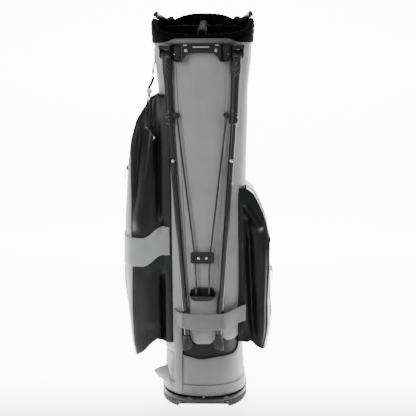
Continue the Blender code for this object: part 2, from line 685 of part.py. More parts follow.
def build_leg(side, word):
    leg_head(side, f"leg_head_{word}")
    top, low = head_bottom(side), leg_bottom(side)
    run = (low - top).normalized()
    rod(f"leg_tube_{word}", "painted_tube", top + run * 0.0010,
        top + run * ((top.z - FOOT_TOP_Z - 0.001) / -run.z), LEG_RADIUS)
    rings = []
    for z, half_x, half_y in ((FOOT_TOP_Z - 0.0016, 0.0078, 0.0070), (FOOT_TOP_Z - 0.012, 0.0082, 0.0072),
                              (FOOT_BOTTOM_Z + 0.004, 0.0112, 0.0080), (FOOT_BOTTOM_Z, 0.0100, 0.0070)):
        centre = top + run * ((top.z - z) / -run.z)
        rings.append([centre + Vector((half_x * cos(TURN * i / 12), half_y * sin(TURN * i / 12), 0))
                      for i in range(12)])
    loft(f"leg_foot_{word}", "foot_rubber", rings)
    clamp_top = Vector((side * CLAMP_TOP_X, clamp_y(), CLAMP_Z + CLAMP_HEIGHT / 2 + 0.0010))
    rod(f"spreader_wire_{word}", "painted_tube", clamp_top, wire_top(side), WIRE_RADIUS, 8)
    frame = pivot_frame(side)
    block = box(f"hinge_block_{word}", "black_plastic", (-KNUCKLE_HALF, -0.0085, KNUCKLE_RADIUS + 0.0012),
                (KNUCKLE_HALF + 0.0040, 0.0085, PIVOT_DROP - 0.0005), frame)
    ear = box("block_ear", "black_plastic", (KNUCKLE_HALF + 0.0008, -0.0080, -0.0085),
              (KNUCKLE_HALF + 0.0038, 0.0080, PIVOT_DROP - 0.0040), frame)
    reach = KNUCKLE_HALF + 0.0045
    bore = rod("block_bore", "black_plastic", frame @ Vector((-reach, 0, 0)), frame @ Vector((reach, 0, 0)),
               PIVOT_PIN_RADIUS + PIN_CLEARANCE)
    combine(block, "UNION", ear)
    combine(block, "DIFFERENCE", bore)
    rod(f"pivot_pin_{word}", "bright_steel", frame @ Vector((-KNUCKLE_HALF - 0.0120, 0, 0)),
        frame @ Vector((KNUCKLE_HALF + 0.0042, 0, 0)), PIVOT_PIN_RADIUS, 10)


def build_yoke():
    """The bridge under the collar: a plate with an arched lower edge and an arm for each pivot pin."""
    top_z = COLLAR_Z - GAP
    back = front_y(0, top_z) - 0.0016
    front = back - YOKE_THICKNESS
    half_x = PIVOT_X - YOKE_INSET
    half = [(half_x, 0), (half_x, YOKE_LEG_DROP), (YOKE_LEG_X, YOKE_LEG_DROP + 0.0010),
            (YOKE_LEG_X - 0.006, YOKE_LEG_DROP - 0.0090), (YOKE_LEG_X - 0.015, YOKE_BRIDGE_DROP + 0.0025),
            (YOKE_LEG_X - 0.028, YOKE_BRIDGE_DROP)]
    outline = half + [(-x, drop) for x, drop in reversed(half)]
    yoke = loft("stand_yoke", "black_plastic",
                [[Vector((x, y, top_z - drop)) for x, drop in outline] for y in (front, back)])
    arms, bores = [], []
    for side in (-1, 1):
        frame = pivot_frame(side)
        arms.append(box("yoke_arm", "black_plastic", (-KNUCKLE_HALF - 0.0135, -0.0080, -0.0130),
                        (-KNUCKLE_HALF - 0.0008, 0.0085, PIVOT_DROP - 0.0030), frame))
        bores.append(rod("yoke_bore", "black_plastic", frame @ Vector((-KNUCKLE_HALF - 0.0125, 0, 0)),
                         frame @ Vector((0.02, 0, 0)), PIVOT_PIN_RADIUS + PIN_CLEARANCE))
    combine(yoke, "UNION", *arms)
    combine(yoke, "DIFFERENCE", *bores)
    for side, word in ((-1, "left"), (1, "right")):
        rod(f"yoke_screw_{word}", "bright_steel", (side * YOKE_SCREW_X, front - GAP, COLLAR_Z - 0.0125),
            (side * YOKE_SCREW_X, front - GAP - 0.0022, COLLAR_Z - 0.0125), 0.0040)


def build_actuator():
    y = clamp_y()
    low_z = CLAMP_Z - CLAMP_HEIGHT / 2
    clamp = box("wire_clamp", "black_plastic", (-CLAMP_HALF_X, y - CLAMP_DEPTH / 2, low_z),
                (CLAMP_HALF_X, y + CLAMP_DEPTH / 2, low_z + CLAMP_HEIGHT))
    edge = clamp.modifiers.new("edge", "BEVEL")
    edge.width = 0.0015
    edge.segments = 2
    front = y - CLAMP_DEPTH / 2 - GAP
    for side, word in ((-1, "left"), (1, "right")):
        rod(f"clamp_rivet_{word}", "bright_steel", (side * RIVET_X, front, CLAMP_Z),
            (side * RIVET_X, front - RIVET_HEAD, CLAMP_Z), RIVET_RADIUS)
    inside_y = push_rod_y()
    bend_z = RING_Z - 0.0072
    low = bend_z - 0.022
    half = [(CLAMP_BOTTOM_X, y, low_z - GAP),
            (lerp(CLAMP_BOTTOM_X, RING_X, 0.5), y, lerp(low_z, RING_Z, 0.5)),
            (RING_X, y, bend_z + 0.006), (RING_X, y + 0.0015, bend_z + 0.0015), (RING_X, y + 0.006, bend_z),
            (RING_X, inside_y - 0.006, bend_z), (RING_X, inside_y - 0.0015, bend_z - 0.0015),
            (RING_X, inside_y, bend_z - 0.006), (RING_X, inside_y, low + 0.005),
            (RING_X - 0.0015, inside_y, low + 0.0015), (RING_X - 0.005, inside_y, low)]
    points = half + [(-x, py, pz) for x, py, pz in reversed(half)]
    tube("rod_fork", "painted_tube", points, WIRE_RADIUS, 1)
    rod("push_rod", "painted_tube", (0, inside_y, low - WIRE_RADIUS - 0.0006),
        (0, inside_y, FLAP_PLATE + 0.0018), PUSH_ROD_RADIUS, 8)


def stadium(half_x, half_z, y, steps=8):
    """An oval outline in the XZ plane round the ring's middle."""
    points = []
    flat = half_x - half_z
    for side in (1, -1):
        for i in range(steps + 1):
            angle = -pi / 2 + pi * i / steps
            x, z = flat + half_z * cos(angle), half_z * sin(angle)
            points.append(Vector((side * x, y, RING_Z + side * z)))
    return points


def build_grommet():
    """The oval ring the rods go in through: open above, with a lip in front of its lower half."""
    back = front_y(0, RING_Z) - 0.0012
    inner_front = clamp_y() - WIRE_RADIUS - 0.0012
    front = inner_front - RING_LIP_DEPTH
    ring = loft("rod_grommet", "black_plastic",
                [stadium(RING_HALF_X, RING_HALF_Z, back), stadium(RING_HALF_X, RING_HALF_Z, front)])
    hollow = loft("ring_hollow", "black_plastic",
                  [stadium(RING_HALF_X - RING_WALL, RING_HALF_Z - RING_WALL, back + 0.02),
                   stadium(RING_HALF_X - RING_WALL, RING_HALF_Z - RING_WALL, inner_front)])
    lip_z = RING_Z - RING_LIP_DROP
    open_y = back - RING_TOP_PROUD
    mouth = loft("ring_mouth", "black_plastic",
                 [[Vector((x, open_y, RING_Z + 0.010)), Vector((x, open_y, RING_Z + FAR)),
                   Vector((x, -FAR, RING_Z + FAR)), Vector((x, -FAR, lip_z)), Vector((x, inner_front, lip_z))]
                  for x in (-FAR, FAR)])
    combine(ring, "DIFFERENCE", hollow, mouth)


# ---- pockets -----------------------------------------------------------------------------------

class Pocket:
    """A pocket round one side of the body, between the body and its own outline."""

    def __init__(self, side, low, high, profile, seam_x):
        self.side, self.low, self.high, self.seam_x = side, low, high, seam_x
        self.stations = [(lerp(low, high, share), reach) for share, reach in profile]

    def plan(self, z, inset=0.0):
        """The outline at one height, from the front seam round the outside to the back seam."""
        reach = along(self.stations, z)
        half_x, front, back = along(SIZES, z)
        corner = half_x + (reach - half_x) * POCKET_CORNER_SHARE
        start = body(front_angle(self.seam_x, z), z, POCKET_CLEARANCE)
        back_share = (POCKET_BACK_X / half_x) ** (OVAL_POWER / 2)
        end = body(acos(back_share), z, POCKET_CLEARANCE)
        swell = 0.004 * min(1.0, (reach - half_x) / 0.05)
        middle = (start + Vector((corner, -POCKET_CORNER_Y, z))) / 2
        after = (end + Vector((corner, POCKET_CORNER_Y, z))) / 2
        points = [
            start + Vector((inset, inset * 0.3, 0)),
            middle + Vector((0, -swell + inset, 0)),
            Vector((corner - inset, -POCKET_CORNER_Y + inset, z)),
            Vector((lerp(corner, reach, 0.72) - inset, -POCKET_CORNER_Y * 0.6, z)),
            Vector((reach - inset, -POCKET_CORNER_Y * 0.29, z)),
            Vector((reach - inset, POCKET_CORNER_Y * 0.29, z)),
            Vector((lerp(corner, reach, 0.72) - inset, POCKET_CORNER_Y * 0.6, z)),
            Vector((corner - inset, POCKET_CORNER_Y - inset, z)),
            after + Vector((0, swell - inset, 0)),
            end + Vector((inset, -inset * 0.3, 0)),
        ]
        first, last = front_angle(self.seam_x, z), acos(back_share)
        arc = []
        steps = 10
        for i in range(1, steps):
            arc.append(body(lerp(last, first, i / steps), z, POCKET_CLEARANCE + inset))
        return points + arc

    def ring(self, z, inset=0.0):
        """The outline with the pocket's sloping bottom, on its own side of the bag."""
        reach, half_x = along(self.stations, z), along(SIZES, z)[0]
        share = max(0.0, 1 - (z - self.low) / 0.045)
        points = []
        for point in self.plan(z, inset):
            inward = 1 - min(1.0, max(0.0, (point.x - half_x * 0.7) / (reach - half_x * 0.7)))
            rise = POCKET_BOTTOM_RISE * share * inward
            points.append(Vector((self.side * point.x, point.y, point.z + rise)))
        return points

    def solid(self, name, finish, inset=0.0):
        heights = sorted({z for z, _ in self.stations} | {self.low + 0.02, self.low + 0.045})
        heights[0] += inset * 2
        heights[-1] -= inset * 2
        return loft(name, finish, [self.ring(z, inset) for z in heights])

    def face(self, y, z, out=0.0):
        """A point on the flat outer side."""
        return Vector((self.side * (along(self.stations, z) + out), y, z))


LEFT = Pocket(-1, LEFT_LOW_Z, COLLAR_Z - LEFT_TOP_DROP, LEFT_PROFILE, LEFT_POCKET_X)
RIGHT = Pocket(1, RIGHT_LOW_Z, RIGHT_TOP_Z, RIGHT_PROFILE, RIGHT_POCKET_X)


def build_pocket(pocket, name, word, zip_run, zip_y):
    low, high = (lerp(pocket.low, pocket.high, share) for share in zip_run)
    shell = pocket.solid(name, "dark_leather")
    hollow = pocket.solid(f"{word}_hollow", "dark_leather", POCKET_WALL)
    bottom, top = pocket.face(zip_y, low), pocket.face(zip_y, high)
    run = (top - bottom).normalized()
    across = Vector((0, 1, 0))
    normal = run.cross(across).normalized()
    if normal.x * pocket.side < 0:
        normal.negate()
    frame = Matrix((normal, across, run)).transposed().to_4x4()
    frame.translation = bottom
    length = (top - bottom).length
    slot = box(f"{word}_slot", "dark_leather", (-0.012, -SLOT_WIDTH / 2, 0.004),
               (0.012, SLOT_WIDTH / 2, length - 0.004), frame)
    combine(shell, "DIFFERENCE", hollow, slot)
    base = ZIP_CLEARANCE
    box(f"{word}_zip", "black_mesh", (base, -ZIP_WIDTH / 2, -0.004),
        (base + ZIP_THICKNESS, ZIP_WIDTH / 2, length + 0.004), frame)
    base += ZIP_THICKNESS + GAP
    box(f"{word}_zip_slider", "zip_metal", (base, -SLIDER_WIDTH / 2, length - SLIDER_LENGTH),
        (base + SLIDER_THICKNESS, SLIDER_WIDTH / 2, length), frame)
    base += SLIDER_THICKNESS + GAP
    top = length - SLIDER_LENGTH / 2
    box(f"{word}_zip_puller", "zip_metal", (base, -PULLER_WIDTH / 2, top - PULLER_LENGTH),
        (base + PULLER_THICKNESS, PULLER_WIDTH / 2, top), frame)


def pocket_front(pocket, x, z):
    """The pocket's front face at this x, as far forward as it reaches."""
    points = pocket.plan(z)[:3]
    for a, b in zip(points, points[1:]):
        if a.x <= abs(x) <= b.x:
            return lerp(a.y, b.y, (abs(x) - a.x) / (b.x - a.x))
    return points[-1].y


def band_low():
    """The band's lower edge on the pocket's outer side."""
    return lerp(LEFT.low, LEFT.high, LEFT_ZIP[0]) - BAND_DROP


def build_band():
    """The grey band round the apparel pocket, from the body seam to the outer side."""
    def surface(out):
        def point(u, v):
            low = band_low() + BAND_INNER_RISE * (1 - min(1.0, u / BAND_BEND))
            height = lerp(BAND_INNER_HEIGHT, BAND_OUTER_HEIGHT, u)
            z = low + height * v
            plan = LEFT.plan(z, -out)[:6]
            lengths = [0.0]
            for a, b in zip(plan, plan[1:]):
                lengths.append(lengths[-1] + (b - a).length)
            spot = lerp(BAND_SEAM_INSET, lengths[-1], u)
            for k, (a, b) in enumerate(zip(plan, plan[1:])):
                if spot <= lengths[k + 1] or k == len(plan) - 2:
                    place = a.lerp(b, (spot - lengths[k]) / (lengths[k + 1] - lengths[k]))
                    break
            return Vector((-place.x, place.y, z))
        return point
    sheet("pocket_band", "grey_leather", surface(BAND_CLEARANCE + BAND_THICKNESS), surface(BAND_CLEARANCE),
          14, 3)


def build_mesh_sleeve():
    def surface(out, bulge):
        def point(u, v):
            z = band_low() - SLEEVE_DROP - SLEEVE_LENGTH * (1 - v)
            swell = bulge * sin(pi * u) * (0.4 + 0.6 * v)
            return LEFT.face(lerp(-SLEEVE_HALF_WIDTH, SLEEVE_HALF_WIDTH, u), z, out + swell)
        return point
    sheet("mesh_sleeve", "black_mesh", surface(SLEEVE_CLEARANCE + SLEEVE_THICKNESS, SLEEVE_BULGE),
          surface(SLEEVE_CLEARANCE, 0), 6, 4)


# ---- soft fittings -----------------------------------------------------------------------------

def strap_route():
    """The leg strap's line in plan at its inner face, over both legs."""
    leg_y = leg_bottom(1).y - LEG_RADIUS - STRAP_OVER_LEG
    z = STRAP_Z_MIDDLE
    leg_x = lerp(LEG_BOTTOM_X, TUBE_TOP_X, (z - LEG_BOTTOM_Z) / (head_bottom(1).z - LEG_BOTTOM_Z))
    start_y = front_y(STRAP_START_X, z) - 0.0050
    end_y = min(pocket_front(RIGHT, STRAP_END_X, z), front_y(0.078, z)) - 0.0050
    return smooth_route([
        (STRAP_START_X, start_y, 0), (-leg_x - 0.012, leg_y + 0.0035, 0), (-leg_x, leg_y - 0.0012, 0),
        (-0.016, leg_y - 0.0045, 0), (0.016, leg_y - 0.0045, 0), (leg_x, leg_y - 0.0012, 0),
        (leg_x + 0.014, leg_y + 0.0030, 0), (lerp(leg_x, STRAP_END_X, 0.62), lerp(leg_y, end_y, 0.62), 0),
        (STRAP_END_X, end_y, 0)], 3)


def build_leg_strap():
    route = strap_route()
    count = len(route) - 1

    def surface(out):
        def point(u, v):
            i = round(u * count)
            before, after = route[max(0, i - 1)], route[min(count, i + 1)]
            run = (after - before).normalized()
            across = Vector((run.y, -run.x, 0))
            middle = lerp(lerp(STRAP_Z_LEFT, STRAP_Z_RIGHT, u), STRAP_Z_MIDDLE, sin(pi * u) ** 1.2)
            spot = route[i] + across * out
            return Vector((spot.x, spot.y, middle + STRAP_WIDTH * (v - 0.5)))
        return point
    sheet("leg_strap", "grey_leather", surface(STRAP_THICKNESS), surface(0), count, 1)


def ribbon(name, finish, points, across, width, thickness):
    """A flat webbing loop: a route in one plane, with its width along another direction."""
    points = [Vector(p) for p in points]
    across = Vector(across).normalized()
    count = len(points) - 1

    def surface(out):
        def point(u, v):
            i = round(u * count)
            run = (points[min(count, i + 1)] - points[max(0, i - 1)]).normalized()
            normal = across.cross(run).normalized()
            return points[i] + normal * out + across * width * (v - 0.5)
        return point
    return sheet(name, finish, surface(thickness / 2), surface(-thickness / 2), count, 1)


def build_grab_loop():
    def near(x, z, out):
        return body(front_angle(x, z), z, out)
    high = near(-0.0800, 0.0800, 0.0062)
    low = near(-0.0690, 0.0440, 0.0078)
    tip = near(-0.0850, 0.0590, GRAB_REACH)
    route = smooth_route([high, high.lerp(tip, 0.55) + Vector((-0.002, -0.002, 0.006)), tip,
                          low.lerp(tip, 0.5) + Vector((0.001, -0.003, -0.004)), low], 3)
    across = (high - low).cross(tip - low)
    ribbon("grab_loop", "grey_leather", route, across, GRAB_WIDTH, GRAB_THICKNESS)


def build_cord():
    """An elastic cord folded double: ring, bead and knot, lying down the front of the pocket."""
    tab_spot = body(pi + CORD_TAB_ANGLE, COLLAR_Z - CORD_TAB_DROP, 0.0022)
    out = Vector((tab_spot.x, tab_spot.y, 0)).normalized()
    side = Vector((-out.y, out.x, 0))
    frame = Matrix((out, side, Vector((0, 0, 1)))).transposed().to_4x4()
    frame.translation = tab_spot
    box("cord_tab", "grey_leather", (0, -0.0070, -0.0140), (0.0022, 0.0070, 0.0280), frame)
    ring_centre = frame @ Vector((0.0046, 0, -0.0210))
    ring_points = [ring_centre + side * CORD_RING_RADIUS * cos(TURN * i / 16)
                   + Vector((0, 0, CORD_RING_RADIUS * sin(TURN * i / 16))) for i in range(16)]
    tube("cord_ring", "bright_steel", ring_points, RING_WIRE, 1, cyclic=True)
    bead = Vector((-0.1130, -0.0700, 0.7000))
    knot = Vector((-0.1160, -0.0880, 0.6270))
    start = ring_centre - Vector((0, 0, CORD_RING_RADIUS + RING_WIRE + CORD_RADIUS + 0.0006))
    for sign, word in ((-1, "left"), (1, "right")):
        shift = Vector((sign * CORD_SPACING / 2, 0, 0))
        spread = Vector((sign * CORD_SPACING, 0, 0))
        route = [start + shift, start + shift + Vector((0, -0.0020, -0.0050)),
                 start.lerp(bead, 0.45) + shift + Vector((-0.0010, 0.0010, -0.0030)),
                 bead + shift + Vector((0, 0.0040, 0.0090)), bead + shift,
                 bead + shift - Vector((0, 0.0020, 0.0090)),
                 bead.lerp(knot, 0.35) + spread, bead.lerp(knot, 0.6) + spread * 1.25,
                 bead.lerp(knot, 0.82) + spread * 0.9,
                 knot + shift * 0.9 + Vector((0, 0, KNOT_RADIUS + 0.0006))]
        tube(f"cord_strand_{word}", "black_cord", smooth_route(route, 3), CORD_RADIUS, 1)
    pearl = ball("cord_bead", "white_bead", bead, BEAD_RADIUS, detail=(14, 9))
    hole = rod("bead_hole", "white_bead", bead - Vector((0, 0, 0.02)), bead + Vector((0, 0, 0.02)),
               CORD_SPACING / 2 + CORD_RADIUS + 0.0007, 12)
    combine(pearl, "DIFFERENCE", hole)
    lump = ball("cord_knot", "black_cord", knot, KNOT_RADIUS, (1.15, 0.9, 1.0))
    tail_end = Vector((-0.1010, -0.0900, 0.6020))
    tail = rod("knot_tail", "black_cord", knot, tail_end, CORD_RADIUS * 1.5, 8)
    combine(lump, "UNION", tail)


def build_carry():
    """Ring on the right, the two padded shoulder straps and the hip pad."""
    spot = body(STRAP_RING_ANGLE, COLLAR_Z - STRAP_RING_DROP, 0.0040)
    out = Vector((spot.x, spot.y, 0)).normalized()
    side = Vector((-out.y, out.x, 0))
    tube("strap_ring", "bright_steel",
         [spot + side * STRAP_RING_RADIUS * cos(TURN * i / 16)
          + Vector((0, 0, STRAP_RING_RADIUS * sin(TURN * i / 16))) for i in range(16)],
         RING_WIRE, 1, cyclic=True)

    def strap(name, start, end, low, high):
        def surface(base, wave):
            def point(u, v):
                z = lerp(low, high, v)
                lift = wave * (0.5 - 0.5 * cos(6 * pi * v)) + wave * sin(pi * u)
                return body(lerp(start, end, u), z, base + lift)
            return point
        sheet(name, "dark_leather", surface(PAD_CLEARANCE + PAD_THICKNESS, SHOULDER_WAVE),
              surface(PAD_CLEARANCE, 0), 6, 14)
    strap("shoulder_strap_right", radians(14), radians(44), SHOULDER_LOW_Z, COLLAR_Z - SHOULDER_RIGHT_DROP)
    strap("shoulder_strap_left", radians(92), radians(117), SHOULDER_LOW_Z, COLLAR_Z - SHOULDER_LEFT_DROP)

    def pad(base, crown):
        def point(u, v):
            swell = crown * (sin(pi * u) * sin(pi * v)) ** 0.4
            return body(lerp(radians(68), radians(112), u), lerp(HIP_LOW_Z, HIP_HIGH_Z, v), base + swell)
        return point
    sheet("hip_pad", "dark_leather", pad(PAD_CLEARANCE + PAD_THICKNESS, HIP_CROWN),
          pad(PAD_CLEARANCE, 0), 8, 6)


build_base()
build_flap()
build_boot()
build_panels()
build_stays()
build_top()
build_yoke()
build_leg(-1, "left")
build_leg(1, "right")
build_actuator()
build_grommet()
build_pocket(LEFT, "apparel_pocket", "apparel", LEFT_ZIP, LEFT_ZIP_Y)
build_pocket(RIGHT, "ball_pocket", "ball", RIGHT_ZIP, RIGHT_ZIP_Y)
build_band()
build_mesh_sleeve()
build_leg_strap()
build_grab_loop()
build_cord()
build_carry()
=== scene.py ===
"""The looks of the golf stand bag: leather shell, pockets, plush mouth, folding legs and moulded base.

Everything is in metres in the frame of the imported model: +Z up, -Y towards the legs, +X towards the
ball pocket, origin in the middle of the base on the floor.
"""

from math import acos, atan2, copysign, cos, exp, pi, radians, sin, sqrt

import bmesh
import bpy
from mathutils import Matrix, Vector, noise


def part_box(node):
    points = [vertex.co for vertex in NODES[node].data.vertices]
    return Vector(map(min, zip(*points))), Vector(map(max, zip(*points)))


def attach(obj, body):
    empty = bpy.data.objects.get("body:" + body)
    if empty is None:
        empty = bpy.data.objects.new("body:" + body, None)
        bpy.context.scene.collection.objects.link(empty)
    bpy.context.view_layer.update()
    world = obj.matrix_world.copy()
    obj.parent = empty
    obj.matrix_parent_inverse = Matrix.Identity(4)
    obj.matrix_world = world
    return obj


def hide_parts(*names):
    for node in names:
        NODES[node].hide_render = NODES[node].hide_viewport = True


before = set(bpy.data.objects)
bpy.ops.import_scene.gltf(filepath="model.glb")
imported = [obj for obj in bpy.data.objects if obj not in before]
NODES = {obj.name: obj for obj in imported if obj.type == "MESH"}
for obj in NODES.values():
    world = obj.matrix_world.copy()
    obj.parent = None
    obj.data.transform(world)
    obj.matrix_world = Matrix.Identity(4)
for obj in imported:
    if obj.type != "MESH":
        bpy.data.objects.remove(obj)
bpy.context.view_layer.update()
TURN = 2 * pi

# ---- camera ------------------------------------------------------------------------------------

CAMERA_DISTANCE = 1.85
CAMERA_HEIGHT = 0.771
CAMERA_AZIMUTH = radians(2)
CAMERA_PITCH = radians(10.3)  # downwards
CAMERA_LENS = 71.8  # mm on a 36 mm sensor
CAMERA_SHIFT = 0.0098
CAMERA_ROLL = radians(-0.35)

lens = bpy.data.cameras.new("camera")
lens.lens = CAMERA_LENS
lens.sensor_width = 36
lens.shift_x = CAMERA_SHIFT
camera = bpy.data.objects.new("camera", lens)
camera.location = (CAMERA_DISTANCE * sin(CAMERA_AZIMUTH), -CAMERA_DISTANCE * cos(CAMERA_AZIMUTH), CAMERA_HEIGHT)
camera.rotation_euler = (Matrix.Rotation(CAMERA_AZIMUTH, 4, "Z") @ Matrix.Rotation(pi / 2 - CAMERA_PITCH, 4, "X")
                         @ Matrix.Rotation(CAMERA_ROLL, 4, "Z")).to_euler()
bpy.context.collection.objects.link(camera)
bpy.context.scene.camera = camera


# ---- small helpers -----------------------------------------------------------------------------

def lerp(a, b, share):
    return a + (b - a) * share


def clamp01(value):
    return max(0.0, min(1.0, value))


def ease(value):
    value = clamp01(value)
    return value * value * (3 - 2 * value)


def along(stations, key):
    """The value at key on the straight runs between (key, value) stations."""
    for (k0, a), (k1, b) in zip(stations, stations[1:]):
        if key <= k1:
            return lerp(a, b, clamp01((key - k0) / (k1 - k0)))
    return stations[-1][1]


def smoothed(stations, key):
    """As along, with rounded corners at the stations."""
    for (k0, a), (k1, b) in zip(stations, stations[1:]):
        if key <= k1:
            return lerp(a, b, ease((key - k0) / (k1 - k0)))
    return stations[-1][1]


def smooth_route(points, steps):
    """Points on a smooth curve through the route's own points (Catmull-Rom)."""
    points = [Vector(p) for p in points]
    padded = [2 * points[0] - points[1], *points, 2 * points[-1] - points[-2]]
    route = []
    for a, b, c, d in zip(padded, padded[1:], padded[2:], padded[3:]):
        for k in range(steps):
            t = k / steps
            route.append(0.5 * (2 * b + (c - a) * t + (2 * a - 5 * b + 4 * c - d) * t * t
                                + (3 * b - a - 3 * c + d) * t * t * t))
    return route + [points[-1]]


def spot_on(points, share):
    """The point at this share of a polyline's length."""
    lengths = [0.0]
    for a, b in zip(points, points[1:]):
        lengths.append(lengths[-1] + (b - a).length)
    goal = clamp01(share) * lengths[-1]
    for k, (a, b) in enumerate(zip(points, points[1:])):
        if goal <= lengths[k + 1] or k == len(points) - 2:
            return a.lerp(b, clamp01((goal - lengths[k]) / max(1e-9, lengths[k + 1] - lengths[k])))


def centre(node):
    low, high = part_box(node)
    return (low + high) / 2


# ---- materials ---------------------------------------------------------------------------------

def colour(code):
    """An sRGB hex value as linear red, green, blue and alpha."""
    parts = [int(code[i:i + 2], 16) / 255 for i in (1, 3, 5)]
    return [p / 12.92 if p <= 0.04045 else ((p + 0.055) / 1.055) ** 2.4 for p in parts] + [1.0]


def add(tree, kind, settings=(), links=()):
    """A node with its settings: names of its own values, or inputs by name or number, and links to inputs."""
    made = tree.nodes.new(kind)
    for name, value in dict(settings).items():
        if isinstance(name, str) and hasattr(made, name):
            setattr(made, name, value)
        else:
            made.inputs[name].default_value = value
    for name, source in dict(links).items():
        tree.links.new(source, made.inputs[name])
    return made


def start(name, base, roughness, **values):
    """A new material with its shader set, and the Object coordinates its patterns use."""
    material = bpy.data.materials.new(name)
    material.use_nodes = True
    tree = material.node_tree
    shader = tree.nodes["Principled BSDF"]
    shader.inputs["Base Color"].default_value = colour(base)
    shader.inputs["Roughness"].default_value = roughness
    for key, value in values.items():
        shader.inputs[key.replace("_", " ")].default_value = value
    return material, tree, shader, add(tree, "ShaderNodeTexCoord")


MM = 0.001


def leather(name, base, deep, roughness, grain=1.1, grain_depth=0.25, soft=0.10):
    """Polyurethane leather: an embossed pebble grain, a slight mottle and a sheen that follows the grain."""
    material, tree, shader, place = start(name, base, roughness, IOR=1.38)
    pebbles = add(tree, "ShaderNodeTexVoronoi", {"feature": "SMOOTH_F1", "Scale": 1 / (grain * MM)},
                  {"Vector": place.outputs["Object"]})
    wrinkles = add(tree, "ShaderNodeTexNoise", {"Scale": 1 / (7 * MM), "Detail": 4.0, "Roughness": 0.6},
                   {"Vector": place.outputs["Object"]})
    mottle = add(tree, "ShaderNodeTexNoise", {"Scale": 1 / (60 * MM), "Detail": 3.0},
                 {"Vector": place.outputs["Object"]})
    shade = add(tree, "ShaderNodeMix", {"data_type": "RGBA"})
    shade.inputs[6].default_value = colour(deep)
    shade.inputs[7].default_value = colour(base)
    spread = add(tree, "ShaderNodeMapRange", {"From Min": 0.3, "From Max": 0.62}, {"Value": mottle.outputs["Fac"]})
    tree.links.new(spread.outputs["Result"], shade.inputs[0])
    tree.links.new(shade.outputs[2], shader.inputs["Base Color"])
    gloss = add(tree, "ShaderNodeMapRange", {"To Min": roughness - soft / 2, "To Max": roughness + soft / 2},
                {"Value": wrinkles.outputs["Fac"]})
    tree.links.new(gloss.outputs["Result"], shader.inputs["Roughness"])
    fine = add(tree, "ShaderNodeBump", {"Strength": 0.35, "Distance": grain_depth * MM},
               {"Height": pebbles.outputs["Distance"]})
    broad = add(tree, "ShaderNodeBump", {"Strength": 0.25, "Distance": 0.5 * MM},
                {"Height": wrinkles.outputs["Fac"], "Normal": fine.outputs["Normal"]})
    tree.links.new(broad.outputs["Normal"], shader.inputs["Normal"])
    return material


def moulded(name, base, roughness, texture=0.6, depth=0.12, edge_wear_and_highlight="#3a3b3b"):
    """Injection moulded nylon: fine spark-eroded texture; paler edges are rubbed wear plus painted highlight."""
    material, tree, shader, place = start(name, base, roughness, IOR=1.36)
    pits = add(tree, "ShaderNodeTexNoise", {"Scale": 1 / (texture * MM), "Detail": 3.0, "Roughness": 0.7},
               {"Vector": place.outputs["Object"]})
    flow = add(tree, "ShaderNodeTexNoise", {"Scale": 1 / (25 * MM), "Detail": 2.0},
               {"Vector": place.outputs["Object"]})
    edge = add(tree, "ShaderNodeNewGeometry")
    # sharp edges turn paler: rubbed wear and painted edge highlight together
    edge_wear_and_highlight_share = add(tree, "ShaderNodeMapRange", {"From Min": 0.52, "From Max": 0.62, "To Max": 0.55},
                 {"Value": edge.outputs["Pointiness"]})
    shade = add(tree, "ShaderNodeMix", {"data_type": "RGBA"})
    shade.inputs[6].default_value = colour(base)
    shade.inputs[7].default_value = colour(edge_wear_and_highlight)
    tree.links.new(edge_wear_and_highlight_share.outputs["Result"], shade.inputs[0])
    tree.links.new(shade.outputs[2], shader.inputs["Base Color"])
    gloss = add(tree, "ShaderNodeMapRange", {"To Min": roughness - 0.06, "To Max": roughness + 0.06},
                {"Value": flow.outputs["Fac"]})
    tree.links.new(gloss.outputs["Result"], shader.inputs["Roughness"])
    bump = add(tree, "ShaderNodeBump", {"Strength": 0.4, "Distance": depth * MM}, {"Height": pits.outputs["Fac"]})
    tree.links.new(bump.outputs["Normal"], shader.inputs["Normal"])
    return material


def enamel(name, base, roughness):
    """Baked enamel on aluminium tube: glossy, with a faint orange-peel ripple and fine dust."""
    material, tree, shader, place = start(name, base, roughness, IOR=1.5, Coat_Weight=0.6, Coat_Roughness=0.12)
    peel = add(tree, "ShaderNodeTexNoise", {"Scale": 1 / (2.2 * MM), "Detail": 1.0},
               {"Vector": place.outputs["Object"]})
    dust = add(tree, "ShaderNodeTexNoise", {"Scale": 1 / (9 * MM), "Detail": 5.0},
               {"Vector": place.outputs["Object"]})
    gloss = add(tree, "ShaderNodeMapRange", {"To Min": roughness - 0.05, "To Max": roughness + 0.12},
                {"Value": dust.outputs["Fac"]})
    tree.links.new(gloss.outputs["Result"], shader.inputs["Roughness"])
    bump = add(tree, "ShaderNodeBump", {"Strength": 0.15, "Distance": 0.05 * MM}, {"Height": peel.outputs["Fac"]})
    tree.links.new(bump.outputs["Normal"], shader.inputs["Normal"])
    return material


def plated(name, base, roughness):
    """Nickel-plated steel: bright, with fine turning scratches and slightly dulled patches."""
    material, tree, shader, place = start(name, base, roughness, Metallic=1.0)
    stretch = add(tree, "ShaderNodeMapping", {"Scale": (1 / (0.4 * MM), 1 / (0.4 * MM), 1 / (6 * MM))},
                  {"Vector": place.outputs["Object"]})
    scratch = add(tree, "ShaderNodeTexNoise", {"Scale": 1.0, "Detail": 3.0}, {"Vector": stretch.outputs["Vector"]})
    gloss = add(tree, "ShaderNodeMapRange", {"To Min": roughness * 0.7, "To Max": roughness * 1.5},
                {"Value": scratch.outputs["Fac"]})
    tree.links.new(gloss.outputs["Result"], shader.inputs["Roughness"])
    bump = add(tree, "ShaderNodeBump", {"Strength": 0.12, "Distance": 0.04 * MM}, {"Height": scratch.outputs["Fac"]})
    tree.links.new(bump.outputs["Normal"], shader.inputs["Normal"])
    return material


